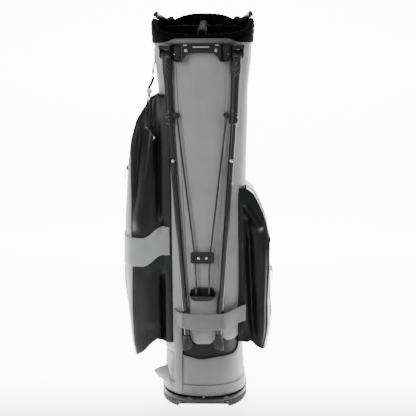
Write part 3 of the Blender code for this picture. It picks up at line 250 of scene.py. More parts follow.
def plush(name, base, tip):
    """Short-pile plush: matte, mottled where the pile leans, with a faint rim of light on its tips."""
    material, tree, shader, place = start(name, base, 0.92, IOR=1.15, Sheen_Weight=0.02, Sheen_Roughness=0.45)
    lean = add(tree, "ShaderNodeTexNoise", {"Scale": 1 / (9 * MM), "Detail": 4.0, "Roughness": 0.65,
                                            "Distortion": 0.6},
               {"Vector": place.outputs["Object"]})
    pile = add(tree, "ShaderNodeTexNoise", {"Scale": 1 / (1.3 * MM), "Detail": 2.0},
               {"Vector": place.outputs["Object"]})
    shade = add(tree, "ShaderNodeMix", {"data_type": "RGBA"})
    shade.inputs[6].default_value = colour(base)
    shade.inputs[7].default_value = colour(tip)
    spread = add(tree, "ShaderNodeMapRange", {"From Min": 0.45, "From Max": 0.75}, {"Value": lean.outputs["Fac"]})
    tree.links.new(spread.outputs["Result"], shade.inputs[0])
    tree.links.new(shade.outputs[2], shader.inputs["Base Color"])
    bump = add(tree, "ShaderNodeBump", {"Strength": 0.7, "Distance": 0.8 * MM}, {"Height": pile.outputs["Fac"]})
    tree.links.new(bump.outputs["Normal"], shader.inputs["Normal"])
    return material


def woven(name, base, light, thread=0.9, depth=0.3):
    """Plain weave of round nylon threads, drawn a little coarser than the real 0.4 mm so that it shows."""
    material, tree, shader, place = start(name, base, 0.7, IOR=1.5, Sheen_Weight=0.15)
    bands = []
    for axis, turn in (("X", 0), ("Z", 0)):
        bands.append(add(tree, "ShaderNodeTexWave", {"bands_direction": axis, "Scale": 1 / (thread * MM) / pi / 2,
                                                     "Distortion": 0.4}, {"Vector": place.outputs["Object"]}))
    cross = add(tree, "ShaderNodeMath", {"operation": "MULTIPLY"},
                {0: bands[0].outputs["Fac"], 1: bands[1].outputs["Fac"]})
    shade = add(tree, "ShaderNodeMix", {"data_type": "RGBA"})
    shade.inputs[6].default_value = colour(base)
    shade.inputs[7].default_value = colour(light)
    tree.links.new(cross.outputs["Value"], shade.inputs[0])
    tree.links.new(shade.outputs[2], shader.inputs["Base Color"])
    bump = add(tree, "ShaderNodeBump", {"Strength": 0.6, "Distance": depth * MM}, {"Height": cross.outputs["Value"]})
    tree.links.new(bump.outputs["Normal"], shader.inputs["Normal"])
    return material


def rubber(name, base):
    """Cured rubber: dull, faintly bloomed, with a grained surface."""
    material, tree, shader, place = start(name, base, 0.62, IOR=1.52)
    bloom = add(tree, "ShaderNodeTexNoise", {"Scale": 1 / (12 * MM), "Detail": 4.0},
                {"Vector": place.outputs["Object"]})
    grain = add(tree, "ShaderNodeTexNoise", {"Scale": 1 / (0.8 * MM), "Detail": 2.0},
                {"Vector": place.outputs["Object"]})
    shade = add(tree, "ShaderNodeMix", {"data_type": "RGBA"})
    shade.inputs[6].default_value = colour(base)
    shade.inputs[7].default_value = colour("#3a3b3b")
    spread = add(tree, "ShaderNodeMapRange", {"From Min": 0.5, "From Max": 0.9, "To Max": 0.6},
                 {"Value": bloom.outputs["Fac"]})
    tree.links.new(spread.outputs["Result"], shade.inputs[0])
    tree.links.new(shade.outputs[2], shader.inputs["Base Color"])
    bump = add(tree, "ShaderNodeBump", {"Strength": 0.4, "Distance": 0.15 * MM}, {"Height": grain.outputs["Fac"]})
    tree.links.new(bump.outputs["Normal"], shader.inputs["Normal"])
    return material


MATERIALS = {
    # embossed polyurethane leather; the body's mid grey, even and softly lit
    "grey_leather": leather("grey_leather", "#8f8f8f", "#868686", 0.56),
    # the boot and band are the same hide, a shade darker
    "boot_leather": leather("boot_leather", "#707070", "#676767", 0.54),
    # smooth black polyurethane leather; picks up broad satin highlights on its folds
    "dark_leather": leather("dark_leather", "#0b0c0d", "#070809", 0.41, 0.9, 0.12, 0.08),
    # the recess behind the feet is a duller, coarser black hide
    "recess_leather": leather("recess_leather", "#101111", "#0a0b0b", 0.64, 1.4, 0.3),
    "black_plush": plush("black_plush", "#020202", "#0a0b0b"),
    # a paler copy of the plush: painted highlight on the patches beside the post
    "plush_painted_highlight": plush("plush_painted_highlight", "#060606", "#161818"),
    # the base's ribs and rim clips: black plastic drawn paler as a painted highlight, with paler edges of rubbed wear
    # and painted edge highlight
    "rib_plastic_painted_highlight": moulded("rib_plastic_painted_highlight", "#161818", 0.40, 0.5, 0.08, "#3c3e3e"),
    "black_plastic": moulded("black_plastic", "#080909", 0.46, edge_wear_and_highlight="#1c1d1d"),
    # the clamp is a softer, greyer nylon than the rest
    "clamp_plastic": moulded("clamp_plastic", "#222424", 0.50, 0.5, 0.06, "#404242"),
    # the facing strips on the pocket seams are a duller charcoal hide
    "facing_leather": leather("facing_leather", "#1b1d1e", "#151718", 0.52, 0.9, 0.2),
    "band_leather": leather("band_leather", "#8b8c8c", "#828383", 0.55),
    # the strap round the legs is the darker lining hide
    "strap_leather": leather("strap_leather", "#727373", "#6a6b6b", 0.56),
    # the collar band: black nylon drawn pale grey, a painted highlight standing for the sheen along its front
    "collar_plastic_painted_highlight": moulded("collar_plastic_painted_highlight", "#666767", 0.40, 0.5, 0.06, "#6a6c6c"),
    # the stand's satin nylon; its much paler edges are rubbed wear and painted edge highlight
    "satin_plastic": moulded("satin_plastic", "#252626", 0.32, 0.5, 0.06, "#565858"),
    # pale grey plastic for the yoke's bar and tabs: a satin bar and lit tabs, their pale grey a painted highlight
    "bar_plastic_painted_highlight": moulded("bar_plastic_painted_highlight", "#9c9e9e", 0.40, 0.5, 0.05, "#b0b2b2"),
    "painted_tube": enamel("painted_tube", "#060707", 0.30),
    "bright_steel": plated("bright_steel", "#c9cbcc", 0.24),
    "zip_metal": plated("zip_metal", "#55585a", 0.34),
    "foot_rubber": rubber("foot_rubber", "#1c1d1d"),
    "black_mesh": woven("black_mesh", "#060707", "#1a1b1c"),
    "grey_binding": woven("grey_binding", "#777979", "#9a9c9c", 0.7, 0.2),
    "white_bead": moulded("white_bead", "#d8d9d9", 0.22, 0.8, 0.03, "#f0f0f0"),
    "black_cord": woven("black_cord", "#0a0b0b", "#1c1d1d", 0.6, 0.2),
    "grey_thread": woven("grey_thread", "#a6a6a6", "#bdbdbd", 0.5, 0.1),
    "dark_thread": woven("dark_thread", "#3b3d3e", "#55585a", 0.5, 0.1),
}
SLOTS = {name: name for name in ("grey_leather", "dark_leather", "black_plush", "black_plastic", "painted_tube",
                                 "bright_steel", "zip_metal", "foot_rubber", "black_mesh", "white_bead",
                                 "black_cord")}
SLOTS |= {"clamp_plastic": "black_plastic", "facing_leather": "dark_leather", "band_leather": "grey_leather",
          "strap_leather": "grey_leather", "collar_plastic_painted_highlight": "black_plastic",
          "rib_plastic_painted_highlight": "black_plastic", "plush_painted_highlight": "black_plush", "boot_leather": "grey_leather",
          "recess_leather": "dark_leather", "satin_plastic": "black_plastic",
          "bar_plastic_painted_highlight": "bright_steel", "grey_binding": "grey_leather", "grey_thread": "grey_leather",
          "dark_thread": "dark_leather"}


# ---- making pieces -----------------------------------------------------------------------------

def piece(name, bm, finish, body="bag", replaces=(), angle=35, recalc=True):
    """A mesh piece that rides on a body, takes a finish and may stand for CAD nodes."""
    if recalc:
        bmesh.ops.recalc_face_normals(bm, faces=bm.faces)
    mesh = bpy.data.meshes.new(name)
    bm.to_mesh(mesh)
    bm.free()
    mesh.shade_smooth()
    mesh.set_sharp_from_angle(angle=radians(angle))
    obj = bpy.data.objects.new(name, mesh)
    return settle(obj, finish, body, replaces)


def settle(obj, finish, body="bag", replaces=()):
    obj.data.materials.append(MATERIALS[finish])
    bpy.context.collection.objects.link(obj)
    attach(obj, body)
    if replaces:
        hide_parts(*replaces)
    return obj


def grid(columns, rows, place, round_u=False, round_v=False):
    """A grid laid on a surface, place(u, v) for u and v from 0 to 1, joined up where it goes round."""
    bm = bmesh.new()
    bmesh.ops.create_grid(bm, x_segments=columns, y_segments=rows, size=0.5)
    for vert in bm.verts:
        vert.co = place(clamp01(vert.co.x + 0.5), clamp01(vert.co.y + 0.5))
    if round_u or round_v:
        bmesh.ops.remove_doubles(bm, verts=bm.verts, dist=1e-6)
    return bm


def hide(name, columns, rows, place, thickness, finish, edge=None, **facts):
    """A sheet of leather: a laid grid with a wall of this thickness behind it and a rounded edge."""
    obj = piece(name, grid(columns, rows, place, facts.pop("round_u", False)), finish, **facts)
    wall = obj.modifiers.new("wall", "SOLIDIFY")
    wall.thickness = thickness
    wall.offset = -1
    wall.use_even_offset = False
    if edge:
        bevel = obj.modifiers.new("edge", "BEVEL")
        bevel.width = edge
        bevel.segments = 2
        bevel.limit_method = "ANGLE"
        bevel.angle_limit = radians(50)
    return obj


def line(name, points, radius, finish, body="bag", replaces=(), cyclic=False, resolution=4):
    """A round cord, wire or piping along the points."""
    curve = bpy.data.curves.new(name, "CURVE")
    curve.dimensions = "3D"
    curve.bevel_depth = radius
    curve.bevel_resolution = resolution
    curve.use_fill_caps = not cyclic
    spline = curve.splines.new("POLY")
    spline.points.add(len(points) - 1)
    for knot, point in zip(spline.points, points):
        knot.co = (*point, 1)
    spline.use_cyclic_u = cyclic
    return settle(bpy.data.objects.new(name, curve), finish, body, replaces)


def ringed(sections, sides=24, power=2.0, caps=True, wobble=None):
    """A solid drawn through sections, each (centre, half width, half depth, axes), by extruding a ring.

    wobble(angle, k) gives an extra reach, in metres, at an angle of section k."""
    bm = bmesh.new()
    made = bmesh.ops.create_circle(bm, segments=sides, radius=1, cap_ends=False)
    verts = made["verts"]
    angles = [TURN * i / sides for i in range(sides)]

    def shape(ring, k):
        middle, half_x, half_y, axes = sections[k]
        for vert, a in zip(ring, angles):
            c, s = cos(a), sin(a)
            extra = wobble(a, k) if wobble else 0
            x = (half_x + extra) * copysign(abs(c) ** (2 / power), c)
            y = (half_y + extra) * copysign(abs(s) ** (2 / power), s)
            vert.co = middle + axes[0] * x + axes[1] * y
    shape(verts, 0)
    if caps:
        bm.faces.new(verts)
    for k in range(1, len(sections)):
        edges = [bm.edges.get((verts[i], verts[(i + 1) % sides])) for i in range(sides)]
        grown = bmesh.ops.extrude_edge_only(bm, edges=edges)
        new = [g for g in grown["geom"] if isinstance(g, bmesh.types.BMVert)]
        order = []
        for old in verts:
            order.append(next(e.other_vert(old) for e in old.link_edges if e.other_vert(old) in new))
        verts = order
        shape(verts, k)
    if caps:
        bm.faces.new(verts)
    return bm


def drawn_out(bm, faces, move):
    """Draws faces out into a closed solid."""
    grown = bmesh.ops.extrude_face_region(bm, geom=faces)
    bmesh.ops.translate(bm, vec=move, verts=[g for g in grown["geom"] if isinstance(g, bmesh.types.BMVert)])
    bmesh.ops.recalc_face_normals(bm, faces=bm.faces)


def plate(corners, move):
    """A closed plate: a face through these corners, drawn out."""
    bm = bmesh.new()
    drawn_out(bm, [bm.faces.new([bm.verts.new(corner) for corner in corners])], move)
    return bm


def rounded(bm, angle, width, segments=2):
    """Rounds the edges sharper than an angle in degrees."""
    sharp = [e for e in bm.edges if e.calc_face_angle(0) > radians(angle)]
    bmesh.ops.bevel(bm, geom=sharp, offset=width, segments=segments, profile=0.5, affect="EDGES", material=-1)


def block(name, outline, start_y, end_y, finish, edge=0.0012, place=None, **facts):
    """A moulded block: an outline in X and Z, drawn out in Y and rounded on its edges."""
    bm = plate([(x, start_y, z) for x, z in outline], (0, end_y - start_y, 0))
    rounded(bm, 25, edge, 3)
    if place:
        bmesh.ops.transform(bm, matrix=place, verts=bm.verts)
    return piece(name, bm, finish, **facts)


def turned(name, profile, place, finish, steps=28, **facts):
    """A turned piece: a profile of (radius, height) spun about the Z of its place."""
    bm = bmesh.new()
    verts = [bm.verts.new((r, 0, h)) for r, h in profile]
    edges = [bm.edges.new(pair) for pair in zip(verts, verts[1:])]
    bmesh.ops.spin(bm, geom=verts + edges, cent=(0, 0, 0), axis=(0, 0, 1), angle=TURN, steps=steps, use_merge=True)
    bmesh.ops.remove_doubles(bm, verts=bm.verts, dist=1e-6)
    bmesh.ops.transform(bm, matrix=place, verts=bm.verts)
    return piece(name, bm, finish, **facts)


def facing(point, direction):
    """A place at the point with Z along the direction."""
    turn = Vector((0, 0, 1)).rotation_difference(Vector(direction)).to_matrix().to_4x4()
    return Matrix.Translation(point) @ turn


def stitches(name, points, finish, pitch=4.2 * MM, length=3.0 * MM, thick=0.42 * MM, body="bag"):
    """A row of thread stitches along a seam, each a slim drop with pointed ends."""
    total = sum((b - a).length for a, b in zip(points, points[1:]))
    count = max(1, int(total / pitch))
    bm = bmesh.new()
    for i in range(count):
        a, b = spot_on(points, (i + 0.15) / count), spot_on(points, (i + 0.15 + length / pitch) / count)
        if (b - a).length < 1e-6:
            continue
        turn = Vector((0, 0, 1)).rotation_difference(b - a).to_matrix().to_4x4()
        bmesh.ops.create_icosphere(bm, subdivisions=1, radius=1, matrix=Matrix.Translation((a + b) / 2) @ turn
                                   @ Matrix.Diagonal((thick, thick, (b - a).length / 2, 1)))
    return piece(name, bm, finish, body=body, angle=180, recalc=False)


# ---- the oval body, read from the frame --------------------------------------------------------

OVAL_POWER = 2.4


def cut(nodes, z):
    """The points where CAD nodes' edges cross a height."""
    points = []
    for node in nodes:
        mesh = NODES[node].data
        for edge in mesh.edges:
            a, b = (mesh.vertices[i].co for i in edge.vertices)
            if (a.z - z) * (b.z - z) < 0:
                points.append(a.lerp(b, (z - a.z) / (b.z - a.z)))
    return points


def section(nodes, z):
    """The half width and the front and back reach of CAD nodes cut at a height."""
    points = cut(nodes, z)
    xs, ys = [p.x for p in points], [p.y for p in points]
    return Vector(((max(xs) - min(xs)) / 2, -min(ys), max(ys)))


PANELS = ("front_panel", "left_panel", "right_panel", "back_panel")
BOOT_LOW, BOOT_HIGH = (corner.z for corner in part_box("lower_boot"))
COLLAR_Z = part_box("top_collar")[0].z
WAIST_Z = 0.545
SIZES = [(BOOT_LOW, section(["lower_boot"], BOOT_LOW + 0.001)), (BOOT_HIGH, section(["lower_boot"],
                                                                                    BOOT_HIGH - 0.008)),
         (WAIST_Z, section(PANELS, WAIST_Z)), (COLLAR_Z, section(PANELS, COLLAR_Z - 0.001))]


def oval(angle, half_x, front, back, z):
    c, s = cos(angle), sin(angle)
    x = half_x * copysign(abs(c) ** (2 / OVAL_POWER), c)
    y = (back if s > 0 else front) * copysign(abs(s) ** (2 / OVAL_POWER), s)
    return Vector((x, y, z))


def shell(angle, z, out=0.0):
    """A point on the body: angle 0 is +X and 90 degrees is the back. It flares a little under the collar."""
    half_x, front, back = along(SIZES, z)
    return oval(angle, half_x + out + 0.0055 * ease((z - 0.690) / 0.090), front + out, back + out, z)


def front_angle(x, z):
    share = min(1.0, abs(x) / (along(SIZES, z)[0] + 0.0055 * ease((z - 0.690) / 0.090)))
    return -acos(copysign(share ** (OVAL_POWER / 2), x))


def on_front(x, z, out=0.0):
    return shell(front_angle(x, z), z, out)


def body_hide(name, finish, left, right, bottom, top, columns, rows, out=0.0, thickness=0.0024, relief=None,
              edge=None, **facts):
    """A panel on the body between two edge angles and two edge heights, each a function."""
    def place(u, v):
        z = lerp(bottom(u), top(u), v)
        angle = lerp(left(z), right(z), u)
        lift = relief(angle, z) if relief else 0.0
        return shell(angle, z, out + lift)
    return hide(name, columns, rows, place, thickness, finish, edge, **facts)


def soft_relief(size, amount, seed=0.0, across=1.0):
    """A gentle unevenness of stretched leather, drawn out along the height."""
    def relief(angle, z):
        spot = Vector((cos(angle) * 3.2 * across, sin(angle) * 3.2 * across, z / size + seed))
        return amount * noise.noise(spot)
    return relief


# ---- cords: the elastic pull cord on the apparel side -------------------------------------------

CORD_RADIUS = 0.00155
CORD_SPACING = 0.0032
KNOT_RADIUS = 0.0050
TAB_DROP = 0.0340
RING_REACH = 0.0068
RING_WIRE = 0.0015
bead = Vector((-0.1130, -0.0700, 0.7000))
knot = Vector((-0.1160, -0.0880, 0.6270))
tail_end = Vector((-0.1010, -0.0900, 0.6020))
tab_spot = shell(pi + radians(14), COLLAR_Z - TAB_DROP, 0.0016)
tab_out = Vector((tab_spot.x, tab_spot.y, 0)).normalized()
tab_side = Vector((-tab_out.y, tab_out.x, 0))
ring_centre = tab_spot + tab_out * 0.0062 - Vector((0, 0, 0.0210))
cord_start = ring_centre - Vector((0, 0, RING_REACH + RING_WIRE + CORD_RADIUS + 0.0006))


def cord_route(sign):
    shift = Vector((sign * CORD_SPACING / 2, 0, 0))
    spread = Vector((sign * CORD_SPACING, 0, 0))
    return smooth_route([
        cord_start + shift, cord_start + shift + Vector((0, -0.0020, -0.0050)),
        cord_start.lerp(bead, 0.45) + shift + Vector((-0.0010, 0.0010, -0.0030)),
        bead + shift + Vector((0, 0.0040, 0.0090)), bead + shift, bead + shift - Vector((0, 0.0020, 0.0090)),
        bead.lerp(knot, 0.35) + spread, bead.lerp(knot, 0.6) + spread * 1.25, bead.lerp(knot, 0.82) + spread * 0.9,
        knot + shift * 0.9 + Vector((0, 0, KNOT_RADIUS + 0.0006))], 6)


def route_length(points):
    return sum((b - a).length for a, b in zip(points, points[1:]))


# the overhand knot: a lump of crossing turns with its two ends twisted together as a tail
bm = bmesh.new()
bmesh.ops.create_icosphere(bm, subdivisions=3, radius=1)
for vert in bm.verts:
    c = vert.co.copy()
    turn = atan2(c.x, c.z)
    crease = 0.13 * abs(sin(2.0 * turn + 2.2 * c.y)) ** 0.6 - 0.07
    vert.co = Vector((c.x * KNOT_RADIUS * 1.12, c.y * KNOT_RADIUS * 0.9, c.z * KNOT_RADIUS)) * (1 + crease) + knot
knot_piece = piece("cord_knot_lump", bm, "black_cord", replaces=["cord_knot"], angle=60)
for sign in (-1, 1):
    run = [knot.lerp(tail_end, s / 10) + Vector((sign * 0.0009 * cos(s * 0.9), -0.0009 * sin(s * 0.9) * sign, 0))
           for s in range(1, 11)]
    line(f"cord_tail_{sign}", run, 0.0011, "black_cord", replaces=["cord_knot"])
# the aglet on the tail's end
run = (tail_end - knot).normalized()
aglet = turned("cord_aglet", [(0, -0.0042), (0.0019, -0.0040), (0.0021, -0.0034), (0.0021, 0.0006), (0.0017, 0.0010),
                              (0, 0.0011)],
               facing(tail_end, run), "bright_steel", steps=16)
bead_piece = turned("cord_bead_ring",
                    [(0.0036 + 0.0002 * (k in (0, 16)) + 0.0026 * max(0, sin(pi * k / 16)) ** 0.55,
                      0.0052 * -cos(pi * k / 16)) for k in range(17)] + [(0.0034, 0.0049), (0.0034, -0.0049),
                                                                         (0.0038, -0.0052)],
                    Matrix.Translation(bead), "white_bead", replaces=["cord_bead"])
for sign, word in ((-1, "left"), (1, "right")):
    strand = cord_route(sign)
    piece_made = line(f"strand_{word}", strand, CORD_RADIUS, "black_cord", replaces=[f"cord_strand_{word}"])
    tuple(strand[0])
    route_length(strand)


# ---- base --------------------------------------------------------------------------------------

BASE = (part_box("base_shell")[1].x, -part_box("foot_flap")[0].y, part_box("base_shell")[1].y)
HINGE_Y = centre("flap_hinge_pin").y
ARCH_X = 0.0570


def rim(angle, z, out=0.0):
    return oval(angle, BASE[0] + out, BASE[1] + out, BASE[2] + out, z)


def skirt(name, span, body, columns, node):
    """The base's wall on one moving part: a recessed tread zone under a rolled lip, cut up for the arch in front."""
    def place(u, v):
        a = lerp(span[0], span[1], u)
        spot = rim(a, 0)
        low = 0.0120 * ease((ARCH_X + 0.0010 - abs(spot.x)) / 0.0030) if spot.y < 0 else 0.0
        profile = [(-0.0022, low + 0.0003), (-0.0022, max(0.0152, low + 0.002)), (-0.0003, 0.0172), (0.0, 0.0190),
                   (-0.0001, 0.0228),
                   (-0.0010, 0.0249), (-0.0034, 0.0251), (-0.0046, 0.0240), (-0.0050, 0.0180),
                   (-0.0050, low + 0.0003)]
        out, z = profile[round(v * 10) % 10]
        return rim(a, z, out)
    bm = grid(columns, 10, place, round_v=True)
    bmesh.ops.holes_fill(bm, edges=[e for e in bm.edges if e.is_boundary], sides=0)
    return piece(name, bm, "black_plastic", body=body, replaces=[node], angle=50)


def side_angle(y, side):
    """The rim's angle at this depth on one side."""
    reach = BASE[2] if y > 0 else BASE[1]
    s = copysign((abs(y) / reach) ** (OVAL_POWER / 2), y)
    return acos(0) - acos(s) if side > 0 else pi - (acos(0) - acos(s))


FRONT_SPAN = (side_angle(HINGE_Y - 0.0020, -1), TURN + side_angle(HINGE_Y - 0.0020, 1))
BACK_SPAN = (side_angle(HINGE_Y + 0.0065, 1), side_angle(HINGE_Y + 0.0065, -1))
skirt("flap_skirt", FRONT_SPAN, "foot_flap_body", 120, "foot_flap")
skirt("base_skirt", BACK_SPAN, "bag", 96, "base_shell")


def sole(name, span, body, node, z, thickness, edge_y, slope=0.0):
    """A floor plate inside the wall, with a straight edge at the hinge."""
    def place(u, v):
        a = lerp(span[0], span[1], u)
        spot = rim(a, z, -0.0056)
        if abs(spot.x) < ARCH_X and spot.y < -0.086:
            spot.y = -0.086
        inner = Vector((spot.x, edge_y, z))
        spot = inner.lerp(spot, v)
        return spot + Vector((0, 0, slope * abs(spot.y - edge_y)))
    floor_plate = piece(name, grid(48, 10, place), "black_plastic", body=body, replaces=[node])
    wall = floor_plate.modifiers.new("wall", "SOLIDIFY")
    wall.thickness = thickness
    wall.offset = 0
    return floor_plate


sole("flap_sole", FRONT_SPAN, "foot_flap_body", "foot_flap", 0.0022, 0.0030, HINGE_Y - 0.0040)
sole("base_sole", BACK_SPAN, "bag", "base_shell", 0.0030, 0.0040, HINGE_Y + 0.0080)
line("flap_barrel", [Vector((x, HINGE_Y, 0.0045)) for x in (-0.0612, -0.030, 0, 0.030, 0.0612)], 0.0039,
     "black_plastic",
     body="foot_flap_body", replaces=["foot_flap"], resolution=8)
for side, word in ((-1, "left"), (1, "right")):
    line(f"hinge_ear_{word}", [Vector((side * x, HINGE_Y, 0.0045)) for x in (0.0624, 0.0660, 0.0698)], 0.0038,
         "black_plastic",
         replaces=["base_shell"], resolution=8)


def tray_place(u, v):
    """The sloping inner floor over the flap."""
    spot = shell(pi + pi * u, BOOT_LOW, -0.0030)
    spot.y = lerp(HINGE_Y + 0.0120, min(spot.y, HINGE_Y), v)
    return Vector((spot.x, spot.y, 0.0108 + 0.2126 * max(0.0, HINGE_Y - spot.y)))


tray = piece("base_tray", grid(48, 24, tray_place), "black_plastic", replaces=["base_shell"])
wall = tray.modifiers.new("wall", "SOLIDIFY")
wall.thickness = 0.0026
wall.offset = 0


TREAD_SLANT = 0.10


def treads(name, span, body):
    """Upright tread ribs round the base's feet, left out over the arch."""
    bm = bmesh.new()
    count = int((span[1] - span[0]) / radians(4.4))
    for i in range(count + 1):
        a = lerp(span[0], span[1], (i + 0.5) / (count + 1))
        spot, ahead = rim(a, 0.0), rim(a + 0.01, 0.0)
        if abs(spot.x) < ARCH_X + 0.004:
            continue
        run = (ahead - spot).normalized()
        out = Vector((run.y, -run.x, 0))
        place = Matrix((run, out, Vector((0, 0, 1)))).transposed().to_4x4()
        place.translation = spot - out * 0.0016 + Vector((0, 0, 0.0084))
        made = bmesh.ops.create_cube(bm, size=1, matrix=place @ Matrix.Diagonal((0.0022, 0.0030, 0.0162, 1)))
        for vert in made["verts"]:
            vert.co += run * (vert.co.z - 0.0084) * TREAD_SLANT
        bmesh.ops.bevel(bm, geom=list({e for v in made["verts"] for e in v.link_edges}), offset=0.0004, segments=1,
                        profile=0.5, affect="EDGES", material=-1)
    return piece(name, bm, "rib_plastic_painted_highlight", body=body)


# the treads take the paler rib plastic: painted highlight on the ribs against their dark slots
treads("flap_treads", FRONT_SPAN, "foot_flap_body")
treads("base_treads", BACK_SPAN, "bag")
# a paler bead along the arch's edge, a painted highlight where the arch's lip catches the light, and the two little
# clips on the rim
line("arch_highlight_bead", [rim(front, 0.0134, -0.0016) for front in
                   (lerp(-acos(-ARCH_X / BASE[0] * 0.99), -acos(ARCH_X / BASE[0] * 0.99),
                         k / 24) for k in range(25))],
     0.0009, "satin_plastic", body="foot_flap_body")
for clip_x in (-0.030, 0.050):
    a = -acos(copysign((abs(clip_x) / BASE[0]) ** (OVAL_POWER / 2), clip_x))
    spot = rim(a, 0.0250, -0.0006)
    block(f"rim_clip_{'left' if clip_x < 0 else 'right'}", [(-0.006, -0.003), (0.006, -0.003), (0.0042, 0.0022),
                                                            (-0.0042, 0.0022)], -0.0012, 0.0018,
          "rib_plastic_painted_highlight", 0.0006, Matrix.Translation(spot) @ Matrix.Rotation(a + pi / 2, 4, "Z"),
          body="foot_flap_body")
for node in ("flap_hinge_pin", "stay_left", "stay_right", "push_rod"):
    NODES[node].data.materials.clear()
    NODES[node].data.materials.append(MATERIALS["painted_tube"])


# ---- body --------------------------------------------------------------------------------------

PANEL_TOP = COLLAR_Z - 0.0003
FRONT_LOW, SIDE_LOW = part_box("front_panel")[0].z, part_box("right_panel")[0].z
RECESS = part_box("recess_panel")
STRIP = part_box("binding_strip")


def front_half(z):
    return lerp(0.0270, 0.0548, (z - FRONT_LOW) / (COLLAR_Z - FRONT_LOW))


def boot_top(u):
    """The boot's wavy top: dipping between the legs' feet and rising at the right edge of the recess."""
    a = (TURN * u) % TURN
    spot = shell(a, BOOT_HIGH)
    if spot.y > 0 or spot.x < STRIP[0].x:
        corner = ease((a - radians(20)) / radians(35)) if spot.x > 0 else 1
        return lerp(SIDE_LOW, BOOT_HIGH, corner)
    return smoothed([(-0.046, 0.1170), (-0.036, 0.1150), (-0.006, 0.1098), (0.040, 0.1150), (0.066, 0.1160),
                     (0.074, 0.1210), (0.0815, 0.1420), (0.086, SIDE_LOW)], spot.x)


hide("boot", 144, 20,
     lambda u, v: shell(TURN * u, z := lerp(BOOT_LOW + 0.0002, boot_top(u), v),
                        0.0004 * noise.noise(Vector((cos(TURN * u) * 5, sin(TURN * u) * 5, v * 0.8)))
                        + (0.0008 + 0.0022 * ease((0.0500 - z) / 0.024) if z < 0.0500 else 0.0)),
     0.0022, "boot_leather", round_u=True, replaces=["lower_boot"])
line("boot_top_binding", [shell(TURN * k / 144, boot_top(k / 144) + 0.0002, -0.0009) for k in range(144)], 0.0014,
     "boot_leather", cyclic=True)
line("boot_seam", [shell(TURN * k / 96, 0.0507, 0.0008) for k in range(96)], 0.0008, "dark_thread", cyclic=True)
stitches("boot_stitches", [shell(TURN * k / 96, 0.0475, 0.0011) for k in range(97)], "grey_thread", thick=0.0003)


def rounded_low(low, half, corner, share):
    """A tab's rounded lower end: how high its edge is at a share of its width."""
    reach = abs(share - 0.5) * 2 * half
    past = max(0.0, reach - (half - corner)) / corner
    return low + corner * (1 - sqrt(max(0.0, 1 - past * past)))


SEAM = 0.004
body_hide("front_skin", "grey_leather", lambda z: front_angle(-front_half(z), z) + SEAM,
          lambda z: front_angle(front_half(z), z) - SEAM, lambda u: rounded_low(0.1470, 0.0275, 0.0200, u),
          lambda u: PANEL_TOP, 48, 96, out=0.0006, relief=soft_relief(0.09, 0.0009), edge=0.0006,
          replaces=["front_panel"])
body_hide("right_skin", "grey_leather", lambda z: front_angle(front_half(z) + 0.0130 * (1 - ease((z - 0.19) / 0.09)),
                                                              z) + SEAM,
          lambda z: radians(55) - SEAM, lambda u: SIDE_LOW - 0.004 + 0.012 * max(0, 1 - u / 0.09) ** 2
          + 0.006 * ease((u - 0.20) / 0.12),
          lambda u: PANEL_TOP, 64, 72, relief=soft_relief(0.11, 0.0012, 3.0), edge=0.0006, replaces=["right_panel"])
body_hide("left_skin", "grey_leather", lambda z: radians(125) + SEAM - TURN,
          lambda z: front_angle(lerp(-0.0480, -front_half(z), ease((z - 0.205) / 0.030)), z) - SEAM,
          lambda u: BOOT_HIGH + 0.0003, lambda u: PANEL_TOP, 64, 72,
          relief=soft_relief(0.11, 0.0012, 7.0), edge=0.0006, replaces=["left_panel"])
body_hide("back_skin", "grey_leather", lambda z: radians(55), lambda z: radians(125), lambda u: BOOT_HIGH + 0.0003,
          lambda u: PANEL_TOP, 40, 64, relief=soft_relief(0.10, 0.0010, 5.0), edge=0.0006, replaces=["back_panel"])
body_hide("recess_skin", "recess_leather", lambda z: front_angle(RECESS[0].x, z),
          lambda z: front_angle(RECESS[1].x + 0.004, z),
          lambda u: 0.1000, lambda u: 0.2050, 40, 24, out=-0.0034, thickness=0.0014,
          relief=soft_relief(0.03, 0.0010, 2.0),
          replaces=["recess_panel"])
for side, word in ((-1, "left"), (1, "right")):
    # dark piping in the seams beside the front panel and along the back panel's edges
    heights = [lerp(0.168, PANEL_TOP, k / 60) for k in range(61)]
    line(f"front_piping_{word}", [on_front(side * (front_half(z) + 0.0004), z, -0.0002) for z in heights], 0.0009,
         "boot_leather")
    edge_angle = radians(55) if side > 0 else radians(125)
    line(f"back_piping_{word}", [shell(edge_angle, z, 0.0006) for z in heights[:-1]], 0.0012, "dark_leather")
# the vertical seam of the right panel
line("right_seam", [on_front(lerp(0.0705, 0.0760, (z - 0.17) / 0.6), z, 0.0003) for z in heights], 0.0005,
     "grey_thread")

# the binding strip beside the recess: webbing folded over, with a raised roll down its middle
hide("binding", 14, 80, lambda u, v: on_front(
    lerp(-0.0630, -0.0462, u) + 0.0007 * sin(v * 21) * sin(pi * u), lerp(0.0275, 0.2020, v),
    0.0014 + 0.0014 * sin(pi * u) ** 0.6 + 0.0006 * noise.noise(Vector((u * 3, v * 9, 0)))),
     0.0014, "boot_leather", 0.0004, replaces=["binding_strip"])
for x in (-0.0612, -0.0480):
    stitches(f"binding_stitches_{x}", [on_front(x, lerp(0.03, 0.198, k / 40), 0.0030) for k in range(41)],
             "grey_thread",
             thick=0.0003)

for x in (-0.0636, -0.0458):
    line(f"binding_edge_{x}", [on_front(x, lerp(0.0275, 0.2020, k / 40), 0.0014) for k in range(41)], 0.0009,
         "dark_thread")

